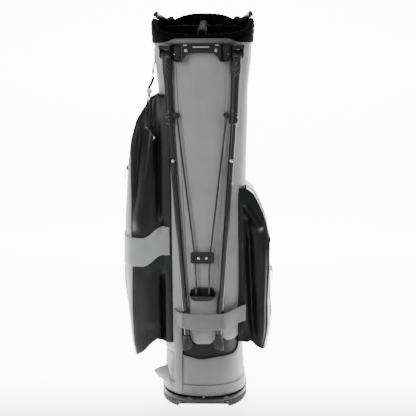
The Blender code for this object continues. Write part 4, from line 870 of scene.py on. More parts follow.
# the grab tab: webbing folded double, sewn in at the binding and sticking out with a lit upper face
tab_high, tab_low = on_front(-0.0790, 0.0840, 0.0040), on_front(-0.0680, 0.0420, 0.0048)
tip_high, tip_low = on_front(-0.0860, 0.0690, 0.0235) + Vector((-0.0050, -0.0040, 0)), on_front(-0.0850, 0.0560,
                                                                                                0.0200)


def tab_place(u, v):
    inner, outer = tab_low.lerp(tab_high, v), tip_low.lerp(tip_high, v)
    spot = inner.lerp(outer, u)
    curl = 0.0050 * sin(pi * u) * (v - 0.35) + 0.0030 * sin(pi * v) * u
    return (spot + Vector((-0.0030, -0.0040, 0.0040)) * (curl / 0.0050)
            + Vector((0, 0, 0.0005 * noise.noise(spot * 90))))


tab = hide("grab_tab", 20, 20, tab_place, 0.0024, "grey_binding", 0.0004, replaces=["grab_loop"])
stitches("grab_tab_stitches", [tab_place(0.16, 0.08 + 0.84 * k / 10) + Vector((-0.0003, -0.0006,
                                                                               0)) for k in range(11)],
         "dark_thread")


# ---- mouth -------------------------------------------------------------------------------------

RISES = smooth_route([(degree, rise, 0) for degree, rise in (
    (0, 0.0740), (12, 0.0725), (22, 0.0685), (32, 0.0620), (42, 0.0545), (50, 0.0490), (64, 0.0550), (82, 0.0590),
    (96, 0.0550),
    (110, 0.0440), (122, 0.0330), (150, 0.0235), (180, 0.0205))], 6)
RISES = [(radians(p.x), p.y) for p in RISES]


def rim_rise(angle):
    """Height of the plush rim over the collar, round the mouth."""
    return along(RISES, acos(max(-1.0, min(1.0, sin(angle)))))


PLUSH_LOW = 0.0134


def plush_point(u, v, extra=0.0):
    """The rolled plush rim: up the outside, over the top and down the inside."""
    a = TURN * u
    rise = rim_rise(a)
    aside = ease((abs(shell(a, COLLAR_Z).x) - 0.0480) / 0.0300) * (1 if sin(a) < 0.5 else 0)
    foot = PLUSH_LOW - 0.0090 * aside
    tall = rise - foot
    roll = min(0.0095, tall * 0.5)
    if v < 0.38:
        t = v / 0.38
        out, up = lerp(lerp(0.0035, 0.0070, aside), 0.0085, sin(pi * 0.5 * t)), foot + (tall - roll) * t
    elif v < 0.62:
        t = (v - 0.38) / 0.24
        out, up = lerp(-0.0005, 0.0085, 0.5 + 0.5 * cos(pi * t)), foot + tall - roll + roll * sin(pi * t)
    elif v < 0.88:
        t = (v - 0.62) / 0.26
        out, up = lerp(-0.0005, -0.0085, ease(t)), lerp(rise - roll, PLUSH_LOW, t)
    else:
        t = (v - 0.88) / 0.12
        under = lerp(0.0035, 0.0058, aside)
        out = lerp(-0.0085, under, t / 0.6) if t < 0.6 else lerp(under, lerp(0.0035, 0.0070, aside), (t - 0.6) / 0.4)
        up = PLUSH_LOW if t < 0.6 else lerp(PLUSH_LOW, foot, (t - 0.6) / 0.4)
    spot = shell(a, COLLAR_Z, out + extra)
    wave = noise.noise(Vector((cos(a) * 7, sin(a) * 7, v * 6))) * 0.0014 \
        + noise.noise(Vector((cos(a) * 26, sin(a) * 26, v * 24))) * 0.0008
    free = sin(pi * clamp01(v / 0.88)) ** 0.5
    return spot + Vector((0, 0, up)) + Vector((spot.x, spot.y, 0)).normalized() * wave * free


rim_piece = piece("plush_rim", grid(260, 44, plush_point, True, True), "black_plush", replaces=["collar_padding"],
                  angle=180)
bm = bmesh.new()
for i in range(3400):
    u = (i * 0.6180339887) % 1
    v = 0.04 + 0.86 * ((i * 0.7548776662) % 1)
    spot, beside, above = plush_point(u, v), plush_point((u + 0.002) % 1, v), plush_point(u, v + 0.006)
    normal = (beside - spot).cross(above - spot)
    if normal.length < 1e-12:
        continue
    lean = normal.normalized() + Vector((noise.noise(spot * 400), noise.noise(spot * 300 + Vector((5, 0, 0))),
                                         -0.5)) * 0.7
    length = 0.0016 + 0.0012 * noise.noise(spot * 500)
    bmesh.ops.create_cone(bm, cap_ends=True, segments=3, radius1=0.00045, radius2=0.00008, depth=length,
                          matrix=facing(spot + lean.normalized() * length * 0.35, lean))
piece("plush_tufts", bm, "black_plush", angle=180, recalc=False)

# the moulded collar band under it, rounded outwards
def band_point(u, v):
    t = TURN * v
    reach = 0.0014 + 0.0034 * cos(t) if cos(t) > 0 else 0.0014 + 0.0044 * cos(t)
    return shell(TURN * u, COLLAR_Z, reach) + Vector((0, 0, 0.0066 + 0.0063 * copysign(abs(sin(t)) ** 0.7, sin(t))))


# the band's pale grey is a painted highlight on black nylon
piece("collar_band", grid(160, 20, band_point, True, True), "collar_plastic_painted_highlight", replaces=["top_collar"], angle=50)
line("collar_groove", [shell(TURN * k / 120, COLLAR_Z, 0.0040) + Vector((0, 0, 0.0016)) for k in range(120)], 0.0006,
     "black_plastic", cyclic=True)

# the four-way divider: plush rolls with a taller post at the back
def bar_z(y):
    return COLLAR_Z + lerp(0.0200, 0.0520, (y + 0.1) / 0.2)


def plush_bar(name, start, end, radius, replaces=()):
    count = 36
    run = (end - start).normalized()
    side = run.cross(Vector((0, 0, 1)))
    side = Vector((1, 0, 0)) if side.length < 1e-3 else side.normalized()
    up = side.cross(run)
    sections = []
    for k in range(count + 1):
        t = k / count
        round_end = sqrt(max(0.02, 1 - (2 * abs(t - 0.5)) ** 14))
        sections.append((start.lerp(end, t), radius * round_end, radius * round_end, (side, up)))
    return piece(name, ringed(sections, 20, wobble=lambda a, k: 0.0009 * noise.noise(
        Vector((cos(a) * 2.2, sin(a) * 2.2, k * 0.55)))), "black_plush", replaces=replaces, angle=180)


lanes = [plush_bar("divider_long", Vector((0, -0.0868, bar_z(-0.0868))), Vector((0, 0.0868, bar_z(0.0868))), 0.0092,
                   ["divider_frame"]),
         plush_bar("divider_cross", Vector((-0.0845, 0.005, bar_z(0.005))), Vector((0.0845, 0.005, bar_z(0.005))),
                   0.0064,
                   ["divider_frame"]),
         plush_bar("rear_roll", Vector((0.002, 0.0850, 0.826)), Vector((0.001, 0.0880, 0.8665)), 0.0095)]
for side in (-1, 1):
    # paler patches of painted highlight on the plush, either side of the post
    bm = bmesh.new()
    bmesh.ops.create_uvsphere(bm, u_segments=24, v_segments=14, radius=1)
    for vert in bm.verts:
        c = vert.co.copy()
        vert.co = Vector((side * 0.041 + c.x * 0.013, 0.0800 + c.y * 0.0060, 0.8300 + c.z * 0.0150)) \
            + c * 0.0018 * noise.noise(c * 2.4 + Vector((side * 3, 0, 0)))
    piece(f"plush_highlight_patch_{'left' if side < 0 else 'right'}", bm, "plush_painted_highlight", angle=180)

# the side handles: padded loops with a pale binding along their outer edge
for side, word in ((-1, "left"), (1, "right")):
    points = []
    for k in range(31):
        share = k / 30
        a = lerp(radians(8), radians(50), 0.5 - 0.5 * cos(pi * share))
        spot = shell(a, COLLAR_Z, 0.0016)
        rise = rim_rise(a) + 0.0010 + 0.0050 * sin(pi * share) ** 0.5 + 0.0040 * exp(-((share - 0.15) / 0.2) ** 2)
        points.append(Vector((side * spot.x, spot.y, COLLAR_Z + rise)))
    sections = []
    for k, p in enumerate(points):
        run = (points[min(30, k + 1)] - points[max(0, k - 1)]).normalized()
        out = Vector((p.x, p.y, 0)).normalized()
        out = (out - run * out.dot(run)).normalized()
        sections.append((p, 0.0050, 0.0072, (out, run.cross(out))))
    piece(f"side_loop_{word}", ringed(sections, 18, 2.3), "dark_leather", replaces=[f"side_handle_{word}"],
                    angle=60)
    edging = [s[0] + s[3][0] * 0.0050 + s[3][1] * 0.0010 for s in sections[1:-1]]
    line(f"loop_edging_{word}", edging, 0.0015, "grey_binding")
    edging = [s[0] + s[3][0] * 0.0046 + s[3][1] * 0.0042 for s in sections[2:-2]]
    stitches(f"loop_stitches_{word}", edging, "grey_thread", thick=0.0004)


# ---- stand -------------------------------------------------------------------------------------

X, Y, Z = Vector((1, 0, 0)), Vector((0, 1, 0)), Vector((0, 0, 1))
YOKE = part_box("stand_yoke")
YOKE_FRONT = YOKE[0].y


def forward(point):
    """A place at the point with Z along -Y."""
    return Matrix.Translation(point) @ Matrix.Rotation(pi / 2, 4, "X")


def arch(t):
    """The bridge's arched lower edge for t from -1 to 1."""
    side, reach = copysign(1, t), abs(t)
    x = 0.0405 * reach
    z = 0.7790 - 0.0190 * max(0.0, (reach - 0.60) / 0.40) ** 1.7
    return side * x, z


def bridge_place(u, v):
    """The bridge's front: arched below, with raised shoulders above."""
    x = lerp(-0.0412, 0.0412, u)
    low = arch(clamp01(abs(x) / 0.0405))[1]
    high = 0.7952 - 0.0027 * ease((0.0300 - abs(x)) / 0.0038)
    return Vector((x, YOKE_FRONT + 0.0002, lerp(low, high, v)))


bm = grid(64, 8, bridge_place)
drawn_out(bm, bm.faces[:], (0, 0.0088, 0))
rounded(bm, 60, 0.0006)
piece("yoke_bridge", bm, "satin_plastic", replaces=["stand_yoke"])
block("yoke_back", [(-0.0545, 0.7790), (0.0545, 0.7790), (0.0545, 0.7965), (-0.0545, 0.7965)], YOKE_FRONT + 0.0085,
      YOKE_FRONT + 0.0125,
      "black_plastic", 0.0008, replaces=["stand_yoke"])
line("yoke_arch_edge", [Vector((*arch(t / 20), 0)).xzy + Vector((0, YOKE_FRONT, 0.0006)) for t in range(-20, 21)],
     0.0009,
     "satin_plastic")
# the pale bar in the slot over the bridge; its pale grey is partly a painted highlight
block("yoke_bar", [(-0.0170, 0.7904), (0.0170, 0.7904), (0.0170, 0.7928), (-0.0170, 0.7928)], YOKE_FRONT - 0.0010,
      YOKE_FRONT + 0.0012, "bar_plastic_painted_highlight", 0.0007)
for side, word in ((-1, "left"), (1, "right")):
    # the small tabs on the bridge's shoulders, drawn pale as a painted highlight
    block(f"yoke_tab_{word}", [(side * x, z) for x, z in ((0.0290, 0.7942), (0.0368, 0.7942), (0.0360, 0.7966),
                                                          (0.0298, 0.7966))],
          YOKE_FRONT - 0.0006, YOKE_FRONT + 0.0020, "bar_plastic_painted_highlight", 0.0005)
    # the cheek: a deep open box with the pivot pin's end in it
    outline = [(0.0408, 0.7630), (0.0455, 0.7605), (0.0560, 0.7625), (0.0606, 0.7680), (0.0606, 0.7945),
               (0.0590, 0.7965),
               (0.0415, 0.7965), (0.0408, 0.7955)]
    bm = plate([(side * x, YOKE_FRONT + 0.0006, z) for x, z in outline], (0, 0.0125, 0))
    front = max(bm.faces, key=lambda f: -f.calc_center_median().y)
    bmesh.ops.inset_region(bm, faces=[front], thickness=0.0014, depth=0)
    bmesh.ops.translate(bm, vec=(0, 0.0090, 0), verts=front.verts)
    rounded(bm, 30, 0.0005)
    piece(f"yoke_cheek_{word}", bm, "satin_plastic", replaces=["stand_yoke"])
    inner, outer = sorted((side * 0.0424, side * 0.0592))
    # a black sheet on the floor of the cheek's recess: painted shade in the deep recess
    block(f"cheek_painted_shade_floor_{word}", [(inner, 0.7640), (outer, 0.7640), (outer, 0.7950), (inner, 0.7950)],
          YOKE_FRONT + 0.0080,
          YOKE_FRONT + 0.0102, "black_mesh", 0.0005)
    # the screw: a shallow domed head with a round socket, in a dark ring
    seat = Vector((side * 0.0310, YOKE_FRONT + 0.0004, 0.7845))
    turned(f"screw_ring_{word}", [(0.0042, 0), (0.0050, 0.0007), (0.0062, 0.0006), (0.0064, 0)], forward(seat),
           "black_plastic")
    turned(f"screw_head_{word}", [(0, 0.0007), (0.0012, 0.0007), (0.0015, 0.0020), (0.0030, 0.0018), (0.0038, 0.0010),
                                  (0.0040, 0.0), (0, 0)], forward(seat), "bright_steel",
                                  replaces=[f"yoke_screw_{word}"])


def pivot(side):
    """The leg's pivot: a frame with X along its pin, outwards."""
    pin = centre(f"pivot_pin_{'left' if side < 0 else 'right'}")
    return Vector((side * 0.0720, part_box("pivot_pin_left")[0].y * 0 - 0.0962, pin.z))


def head_low(side):
    return Vector((side * 0.0670, -0.0958, 0.6320))


def leg_low(side):
    return Vector((side * 0.0345, -0.1067, 0.1600))


for side, word in ((-1, "left"), (1, "right")):
    splay = radians(30)
    outward = Vector((side * cos(splay), sin(splay), 0))
    ahead = Vector((side * sin(splay), -cos(splay), 0))
    hub = Matrix((outward, ahead, Z)).transposed().to_4x4()
    hub.translation = pivot(side)
    leg_body = f"leg_{word}"
    # hinge block over the knuckle, with a shallow panel pressed in its face
    outline = [(-0.0112, 0.0102), (0.0148, 0.0102), (0.0148, 0.0190), (-0.0112, 0.0190)]
    bm = plate([(x, 0.0092, z) for x, z in outline], (0, -0.0184, 0))
    front = max(bm.faces, key=lambda f: f.calc_center_median().y)
    bmesh.ops.inset_region(bm, faces=[front], thickness=0.0016, depth=0)
    bmesh.ops.translate(bm, vec=(0, -0.0010, 0), verts=front.verts)
    rounded(bm, 30, 0.0007)
    bmesh.ops.transform(bm, matrix=hub, verts=bm.verts)
    piece(f"hinge_top_{word}", bm, "satin_plastic", replaces=[f"hinge_block_{word}"])
    # ears either side of the knuckle
    for reach, deep, tag in ((0.0128, 0.0022, "outer"), (-0.0128, 0.0022, "inner")):
        ear = [(0.0080, -0.0040), (0.0080, 0.0180), (-0.0080, 0.0180), (-0.0080, -0.0040), (-0.0062, -0.0075),
               (0, -0.0092),
               (0.0062, -0.0075)]
        bm = plate([(reach - deep / 2, y, z) for y, z in ear], (deep, 0, 0))
        rounded(bm, 30, 0.0005)
        bmesh.ops.transform(bm, matrix=hub, verts=bm.verts)
        piece(f"hinge_ear_{tag}_{word}", bm, "black_plastic", replaces=[f"hinge_block_{word}"])
    turned(f"pin_{word}", [(0, -0.0205), (0.0021, -0.0203), (0.0025, -0.0195), (0.0025, 0.0140), (0.0046, 0.0141),
                           (0.0044, 0.0152), (0.0020, 0.0158), (0, 0.0158)],
           facing(pivot(side), outward), "bright_steel", replaces=[f"pivot_pin_{word}"])

    # leg head: knuckle, fluted elbow, slotted shaft, ringed collar and the wire's tab
    top, low = pivot(side), head_low(side)
    length = (top - low).length
    drops = [(0.0035, .0078, .0066), (0.0060, .0100, .0074), (0.0120, .0108, .0082), (0.0260, .0110, .0084),
             (0.0360, .0106, .0082),
             (0.0440, .0098, .0076), (0.0500, .0093, .0072), (0.0530, .0091, .0070), (0.0560, .0089, .0070),
             (0.0700, .0088, .0069),
             (0.0860, .0086, .0068), (0.1020, .0085, .0067), (0.1120, .0084, .0067), (0.1160, .0085, .0068),
             (0.1185, .0090, .0077),
             (0.1215, .0094, .0081), (0.1228, .0094, .0081), (0.1236, .0086, .0074), (0.1254, .0086, .0074),
             (0.1262, .0094, .0081),
             (0.1300, .0094, .0081), (0.1308, .0086, .0074), (0.1326, .0086, .0074), (0.1334, .0094, .0081),
             (0.1400, .0095, .0082),
             (0.1440, .0090, .0079), (0.1450, .0076, .0068)]
    fine = []
    for (d0, a0, b0), (d1, a1, b1) in zip(drops, drops[1:]):
        steps = max(1, int((d1 - d0) / 0.0018))
        fine += [(lerp(d0, d1, k / steps), lerp(a0, a1, k / steps), lerp(b0, b1, k / steps)) for k in range(steps)]
    fine.append(drops[-1])
    axes = (X, Y)
    sections = [(top.lerp(low, d / length), a, b, axes) for d, a, b in fine]

    def shape(a, k):
        d = fine[k][0]
        forwardness = max(0.0, cos(a + pi / 2))
        # diagonal flutes on the elbow
        flute = 0.0010 * cos(9 * a + side * 520 * (d - 0.02)) * ease((d - 0.010) / 0.008) * ease((0.050 - d) / 0.008)
        # the slot in the shaft
        slot_end = min(ease((d - 0.0535) / 0.0040), ease((0.1140 - d) / 0.0040))
        centre_off = a + pi / 2 + side * 0.20
        slot = -0.0042 * slot_end * (1 if abs(centre_off) < 0.42 else ease((0.62 - abs(centre_off)) / 0.20))
        return flute * forwardness + slot
    piece(f"leg_elbow_{word}", ringed(sections, 56, wobble=shape), "satin_plastic", body=leg_body,
          replaces=[f"leg_head_{word}"], angle=55)
    turned(f"leg_knuckle_{word}", [(0.0030, -0.0104), (0.0080, -0.0104), (0.0088, -0.0096), (0.0090, -0.0060),
                                   (0.0086, -0.0050),
                                   (0.0086, 0.0050), (0.0090, 0.0060), (0.0088, 0.0096), (0.0080, 0.0104),
                                   (0.0030, 0.0104),
                                   (0.0030, -0.0104)],
           facing(pivot(side), outward), "black_plastic", body=leg_body, replaces=[f"leg_head_{word}"])
    # a paler rail in the leg's slot: painted highlight along the slot
    rail = [top.lerp(low, lerp(0.0560, 0.1120, k / 12) / length) + Vector((-side * 0.0010, -0.0050,
                                                                           0)) for k in range(13)]
    line(f"leg_rail_{word}", rail, 0.0010, "rib_plastic_painted_highlight", body=leg_body)
    for d in (0.1245, 0.1317):
        for off in (-0.0022, 0.0022):
            turned(f"leg_dot_{word}_{d}_{off}", [(0, 0.0010), (0.0009, 0.0009), (0.0011, 0.0004), (0.0011, -0.0012),
                                                 (0, -0.0012)],
                   forward(top.lerp(low, d / length) + Vector((off, -0.0078, 0))), "black_plastic", steps=12,
                   body=leg_body)
    box_low, box_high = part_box(f"leg_head_{word}")
    tab = Vector((side * 0.0522, -0.0980, 0.6510))
    turned(f"wire_tab_{word}", [(0, 0.0016), (0.0028, 0.0016), (0.0032, 0.0025), (0.0056, 0.0025), (0.0064, 0.0018),
                                (0.0065, -0.0018), (0.0056, -0.0025), (0, -0.0025)], forward(tab), "satin_plastic",
           body=leg_body, replaces=[f"leg_head_{word}"])
    inner, outer = sorted((tab.x, tab.x + side * 0.0135))
    block(f"tab_arm_{word}", [(inner, 0.6472), (outer, 0.6466), (outer, 0.6554), (inner, 0.6548)], tab.y - 0.0020,
          tab.y + 0.0020,
          "satin_plastic", 0.0007, body=leg_body, replaces=[f"leg_head_{word}"])

    # tube, stud and foot
    run = (leg_low(side) - low).normalized()

    def along_leg(z, out=0.0):
        return low + run * ((low.z - z) / -run.z) + Vector((0, -out, 0))
    line(f"tube_{word}", [along_leg(lerp(0.6314, 0.1718, k / 8)) for k in range(9)], 0.0062, "painted_tube",
         body=leg_body,
         replaces=[f"leg_tube_{word}"], resolution=10)
    turned(f"stud_{word}", [(0, 0.0022), (0.0015, 0.0021), (0.0030, 0.0014), (0.0036, 0.0006), (0.0038, -0.0010),
                            (0, -0.0010)],
           forward(along_leg(0.5550, 0.0058)), "bright_steel", body=leg_body)
    tilt = radians(20)
    feet = []
    for z, a, b, t in ((0.1705, .0064, .0062, 0), (0.1702, .0078, .0070, 0), (0.1680, .0082, .0072, 0),
                       (0.1668, .0074, .0068, 0),
                       (0.1650, .0074, .0068, 0), (0.1638, .0082, .0073, 0), (0.1600, .0086, .0074, 0.1),
                       (0.1560, .0092, .0076, 0.25),
                       (0.1510, .0098, .0078, 0.5), (0.1450, .0107, .0080, 0.8), (0.1400, .0114, .0080, 1),
                       (0.1392, .0106, .0074, 1)):
        tilt_now = tilt * t
        feet.append((along_leg(z) + Vector((side * 0.0012 * t, 0, 0)), a, b,
                     (Vector((cos(tilt_now), 0, -side * sin(tilt_now))), Y)))
    piece(f"foot_{word}", ringed(feet, 64, 2.8, wobble=lambda a, k: 0.0005 * cos(16 * a) * (k > 5)), "foot_rubber",
          body=leg_body, replaces=[f"leg_foot_{word}"], angle=50)

# ---- clamp, wires and rods ----------------------------------------------------------------------

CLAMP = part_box("wire_clamp")
clamp_middle = (CLAMP[0] + CLAMP[1]) / 2
cz = clamp_middle.z


def rounded_box(half_x, half_z, corner, steps=6):
    points = []
    for quarter, (sx, sz) in enumerate(((1, -1), (1, 1), (-1, 1), (-1, -1))):
        for k in range(steps + 1):
            a = -pi / 2 + quarter * pi / 2 + (pi / 2) * k / steps
            points.append((sx * (half_x - corner) + corner * cos(a), sz * (half_z - corner) + corner * sin(a)))
    return points


bm = plate([(x, CLAMP[0].y + 0.0002, cz + z) for x, z in rounded_box(0.0255, 0.0119, 0.0040)], (0, 0.0076, 0))
front = max(bm.faces, key=lambda f: -f.calc_center_median().y)
bmesh.ops.inset_region(bm, faces=[front], thickness=0.0026, depth=0)
bmesh.ops.inset_region(bm, faces=[front], thickness=0.0004, depth=0)
bmesh.ops.translate(bm, vec=(0, 0.0010, 0), verts=front.verts)
rounded(bm, 40, 0.0004)
piece("clamp_body", bm, "clamp_plastic", body="stand_actuator", replaces=["wire_clamp"])
block("clamp_plate", [(x, cz + z) for x, z in rounded_box(0.0150, 0.0058, 0.0022)], CLAMP[0].y + 0.0002,
      CLAMP[0].y + 0.0020,
      "clamp_plastic", 0.0004, body="stand_actuator")
for side, word in ((-1, "left"), (1, "right")):
    turned(f"rivet_{word}", [(0, 0.0016), (0.0012, 0.0015), (0.0022, 0.0010), (0.0027, 0.0003), (0.0027, -0.0006),
                             (0, -0.0006)],
           forward(Vector((side * 0.0085, CLAMP[0].y - 0.0001, cz))), "bright_steel", steps=24, body="stand_actuator",
           replaces=[f"clamp_rivet_{word}"])
    foot_end = Vector((side * 0.0178, clamp_middle.y, CLAMP[1].z + 0.0010))
    head_end = Vector((side * 0.0522, -0.1055, 0.6510))
    line(f"wire_{word}", [foot_end.lerp(head_end, k / 6) for k in range(7)], 0.0020, "painted_tube",
         body=f"wire_{word}",
         replaces=[f"spreader_wire_{word}"], resolution=6)
inside_y = centre("push_rod").y
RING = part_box("rod_grommet")
ring_z = (RING[0].z + RING[1].z) / 2
bend = ring_z - 0.0072
fork_end = bend - 0.022
half = [(0.0156, clamp_middle.y, CLAMP[0].z - 0.0003), (0.0145, clamp_middle.y, lerp(CLAMP[0].z, ring_z, 0.5)),
        (0.0134, clamp_middle.y, bend + 0.006), (0.0134, clamp_middle.y + 0.0015, bend + 0.0015),
        (0.0134, clamp_middle.y + 0.006, bend),
        (0.0134, inside_y - 0.006, bend), (0.0134, inside_y - 0.0015, bend - 0.0015),
        (0.0134, inside_y, bend - 0.006),
        (0.0134, inside_y, fork_end + 0.005), (0.0119, inside_y, fork_end + 0.0015), (0.0084, inside_y, fork_end)]
line("fork", [Vector(p) for p in half] + [Vector((-x, y, z)) for x, y, z in reversed(half)], 0.0020, "painted_tube",
     body="stand_actuator", replaces=["rod_fork"], resolution=6)

# the oval ring the rods run in through: a rolled upper edge and a thick lip in front of its lower half
RING_X, RING_H = RING[1].x, (RING[1].z - RING[0].z) / 2
RING_FRONT, RING_BACK = RING[0].y, on_front(0, ring_z).y - 0.0012


def ring_point(share, inset):
    """A point round the oval, from the right-hand end, at an inset from its outer edge."""
    half, flat = RING_H - inset, RING_X - RING_H
    arc_length, run_length = pi * half, 2 * flat
    s = (share % 1) * (2 * arc_length + 2 * run_length)
    if s < arc_length:
        a = -pi / 2 + s / half
        return flat + half * cos(a), half * sin(a)
    s -= arc_length
    if s < run_length:
        return flat - s, half
    s -= run_length
    if s < arc_length:
        a = pi / 2 + s / half
        return -flat + half * cos(a), half * sin(a)
    return -flat + (s - arc_length), -half


def ring_place(u, v):
    depth_top, depth_low = 0.0062, RING_BACK - RING_FRONT
    x, z = ring_point(u, 0)
    low_share = ease((0.25 - z / RING_H) / 0.75)
    depth = lerp(depth_top, depth_low, low_share)
    thick = lerp(0.0024, 0.0030, low_share)
    t = TURN * v
    reach = 0.5 - 0.5 * copysign(abs(cos(t)) ** 0.7, cos(t))
    x, z = ring_point(u, thick * reach)
    y = RING_BACK - depth * (0.5 + 0.5 * copysign(abs(sin(t)) ** 0.7, sin(t)))
    return Vector((x, y, ring_z + z))


piece("grommet_ring", grid(120, 24, ring_place, True, True), "painted_tube", replaces=["rod_grommet"], angle=60)
# the lip's front wall across the lower half
block("grommet_lip", [(x, ring_z + z) for x, z in (ring_point(k / 48, 0.0006) for k in range(48)) if z < -0.0012],
      RING_FRONT + 0.0002, RING_FRONT + 0.0028, "satin_plastic", 0.0008, replaces=["rod_grommet"])
# a dark plate inside the ring over the front panel: painted shade for the dark hole the rods run into
block("grommet_painted_shade", [(x, ring_z + z) for x, z in (ring_point(k / 40, 0.0020) for k in range(40))],
      RING_BACK - 0.0006,
      RING_BACK + 0.0008, "recess_leather", 0.0003)


# ---- pockets -----------------------------------------------------------------------------------

STEPS = 8


def plan(pocket, z):
    """A pocket's outline at one height, from its front seam round the outside to its back seam."""
    reach = along(pocket["reach"], z)
    half_x = along(SIZES, z)[0]
    edge = half_x + (reach - half_x) * along(pocket["corner"], z)
    start = shell(front_angle(pocket["seam"], z), z, 0.0014)
    end = shell(acos((0.060 / half_x) ** (OVAL_POWER / 2)), z, 0.0014)
    swell = 0.004 * min(1.0, (reach - half_x) / 0.05)
    middle = (start + Vector((edge, -0.062, z))) / 2
    after = (end + Vector((edge, 0.062, z))) / 2
    wide = lerp(edge, reach, 0.80)
    return [start, middle - Vector((0, swell, 0)), Vector((edge, -0.062, z)), Vector((wide, -0.0372, z)),
            Vector((reach, -0.018, z)), Vector((reach, 0.018, z)), Vector((wide, 0.0372, z)),
            Vector((edge, 0.062, z)),
            after + Vector((0, swell, 0)), end]


def make_pocket(node, side, seam, lift, corner, fuller, crown):
    low, high = (corner.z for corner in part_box(node))
    stations = []
    for k in range(25):
        z = lerp(low + 0.002, high - 0.0015, k / 24)
        stations.append((z, max(side * p.x for p in cut([node], z)) + along(fuller, z)))
    stations.append((high + crown, along(SIZES, high)[0] + 0.0035))
    return {"side": side, "seam": seam, "low": low, "high": high + crown, "reach": stations, "rows": {}, "lift": lift,
            "corner": corner}


def on_pocket(pocket, t, v, out=0.0):
    """A point on a pocket: t runs along the outline's nine stretches and v up its height."""
    z = lerp(pocket["low"], pocket["high"], v)
    key = round(z, 5)
    if key not in pocket["rows"]:
        pocket["rows"][key] = smooth_route(plan(pocket, z), STEPS)
    row = pocket["rows"][key]
    k = min(len(row) - 1.001, max(0.0, t * STEPS))
    i = int(k)
    spot, run = row[i].lerp(row[i + 1], k - i), (row[min(len(row) - 1, i + 2)] - row[max(0, i - 1)]).normalized()
    across = Vector((run.y, -run.x, 0))
    rise = along(pocket["lift"], abs(spot.x)) * max(0.0, 1 - v * (pocket["high"] - pocket["low"]) / 0.09)
    spot = spot + across * (out + pocket["fold"](t, spot.x, z, spot.y))
    return Vector((pocket["side"] * spot.x, spot.y, spot.z + rise))


def ridge(x, z, a, b, width, height):
    """How much a soft ridge from a to b lifts the leather at x and z, fading at its ends."""
    run = Vector((b[0] - a[0], b[1] - a[1]))
    rel = Vector((x - a[0], z - a[1]))
    t = rel.dot(run) / run.length_squared
    off = abs(rel.x * run.y - rel.y * run.x) / run.length
    return height * exp(-(off / width) ** 2) * ease((t + 0.15) / 0.3) * ease((1.15 - t) / 0.3)


BAND_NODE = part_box("pocket_band")
BAND_TOP, BAND_LOW = BAND_NODE[1].z, BAND_NODE[0].z


def apparel_fold(t, x, z, y):
    if y > -0.03:
        return 0.0012 * noise.noise(Vector((y * 14, z * 8, 4)))
    pressed = 1 - 0.85 * ease((z - BAND_LOW + 0.02) / 0.03) * ease((BAND_TOP + 0.004 - z) / 0.03)
    seam_free = ease(t / 0.5) * ease((2.1 - t) / 0.35)
    fold = ridge(x, z, (0.1070, 0.610), (0.1420, 0.395), 0.0115, 0.0095)
    fold += ridge(x, z, (0.1040, 0.690), (0.1080, 0.640), 0.0070, 0.0040)
    fold += ridge(x, z, (0.1350, 0.620), (0.1500, 0.460), 0.0070, -0.0060)
    fold += ridge(x, z, (0.1440, 0.660), (0.1520, 0.560), 0.0050, 0.0035)
    fold += ridge(x, z, (0.0965, 0.620), (0.0965, 0.430), 0.0065, -0.0100)
    fold += ridge(x, z, (0.0800, 0.425), (0.0980, 0.380), 0.0055, -0.0070)
    fold += ridge(x, z, (0.0895, 0.300), (0.0895, 0.110), 0.0070, -0.0120)
    fold += ridge(x, z, (0.1230, 0.300), (0.1200, 0.170), 0.0200, 0.0040)
    fold += 0.0012 * noise.noise(Vector((x * 20, z * 7, 2)))
    return fold * pressed * seam_free


def ball_fold(t, x, z, y):
    if y > -0.03:
        return 0.0012 * noise.noise(Vector((y * 14, z * 8, 9)))
    seam_free = ease(t / 0.4) * ease((2.1 - t) / 0.35)
    fold = ridge(x, z, (0.0938, 0.448), (0.1260, 0.400), 0.0060, 0.0095)
    fold += ridge(x, z, (0.0960, 0.425), (0.1020, 0.360), 0.0070, -0.0080)
    fold += ridge(x, z, (0.1010, 0.370), (0.1120, 0.130), 0.0085, -0.0120)
    fold += ridge(x, z, (0.1340, 0.360), (0.1310, 0.140), 0.0075, 0.0045)
    fold += ridge(x, z, (0.0900, 0.360), (0.0900, 0.150), 0.0050, 0.0030)
    fold += 0.0012 * noise.noise(Vector((x * 20, z * 7, 6)))
    return fold * seam_free


APPAREL = make_pocket("apparel_pocket", -1, 0.0670, [(0.067, 0.0340), (0.085, 0.0340), (0.103, 0.0420),
                                                     (0.118, 0.0300), (0.135, 0.0100), (0.150, 0)],
                      [(0.100, 0.93), (0.150, 0.88), (0.307, 0.76), (0.450, 0.80), (0.543, 0.86), (0.620, 0.90)],
                      [(0.117, 0.0050), (0.160, 0)], 0.0030)
BALL = make_pocket("ball_pocket", 1, 0.0760, [(0.076, 0.0320), (0.098, 0.0300), (0.106, 0.0340), (0.120, 0.0210),
                                              (0.132, 0.0135), (0.150, 0.0120)],
                   [(0.110, 0.82), (0.200, 0.84), (0.350, 0.93), (0.478, 0.95)],
                   [(0.110, 0.0060), (0.180, 0.0060), (0.230, 0.0008), (0.330, 0.0008), (0.370, 0.0045),
                    (0.410, 0.0065), (0.450, 0.0090),
                    (0.480, 0.0090)], 0.0120)
APPAREL["fold"], BALL["fold"] = apparel_fold, ball_fold


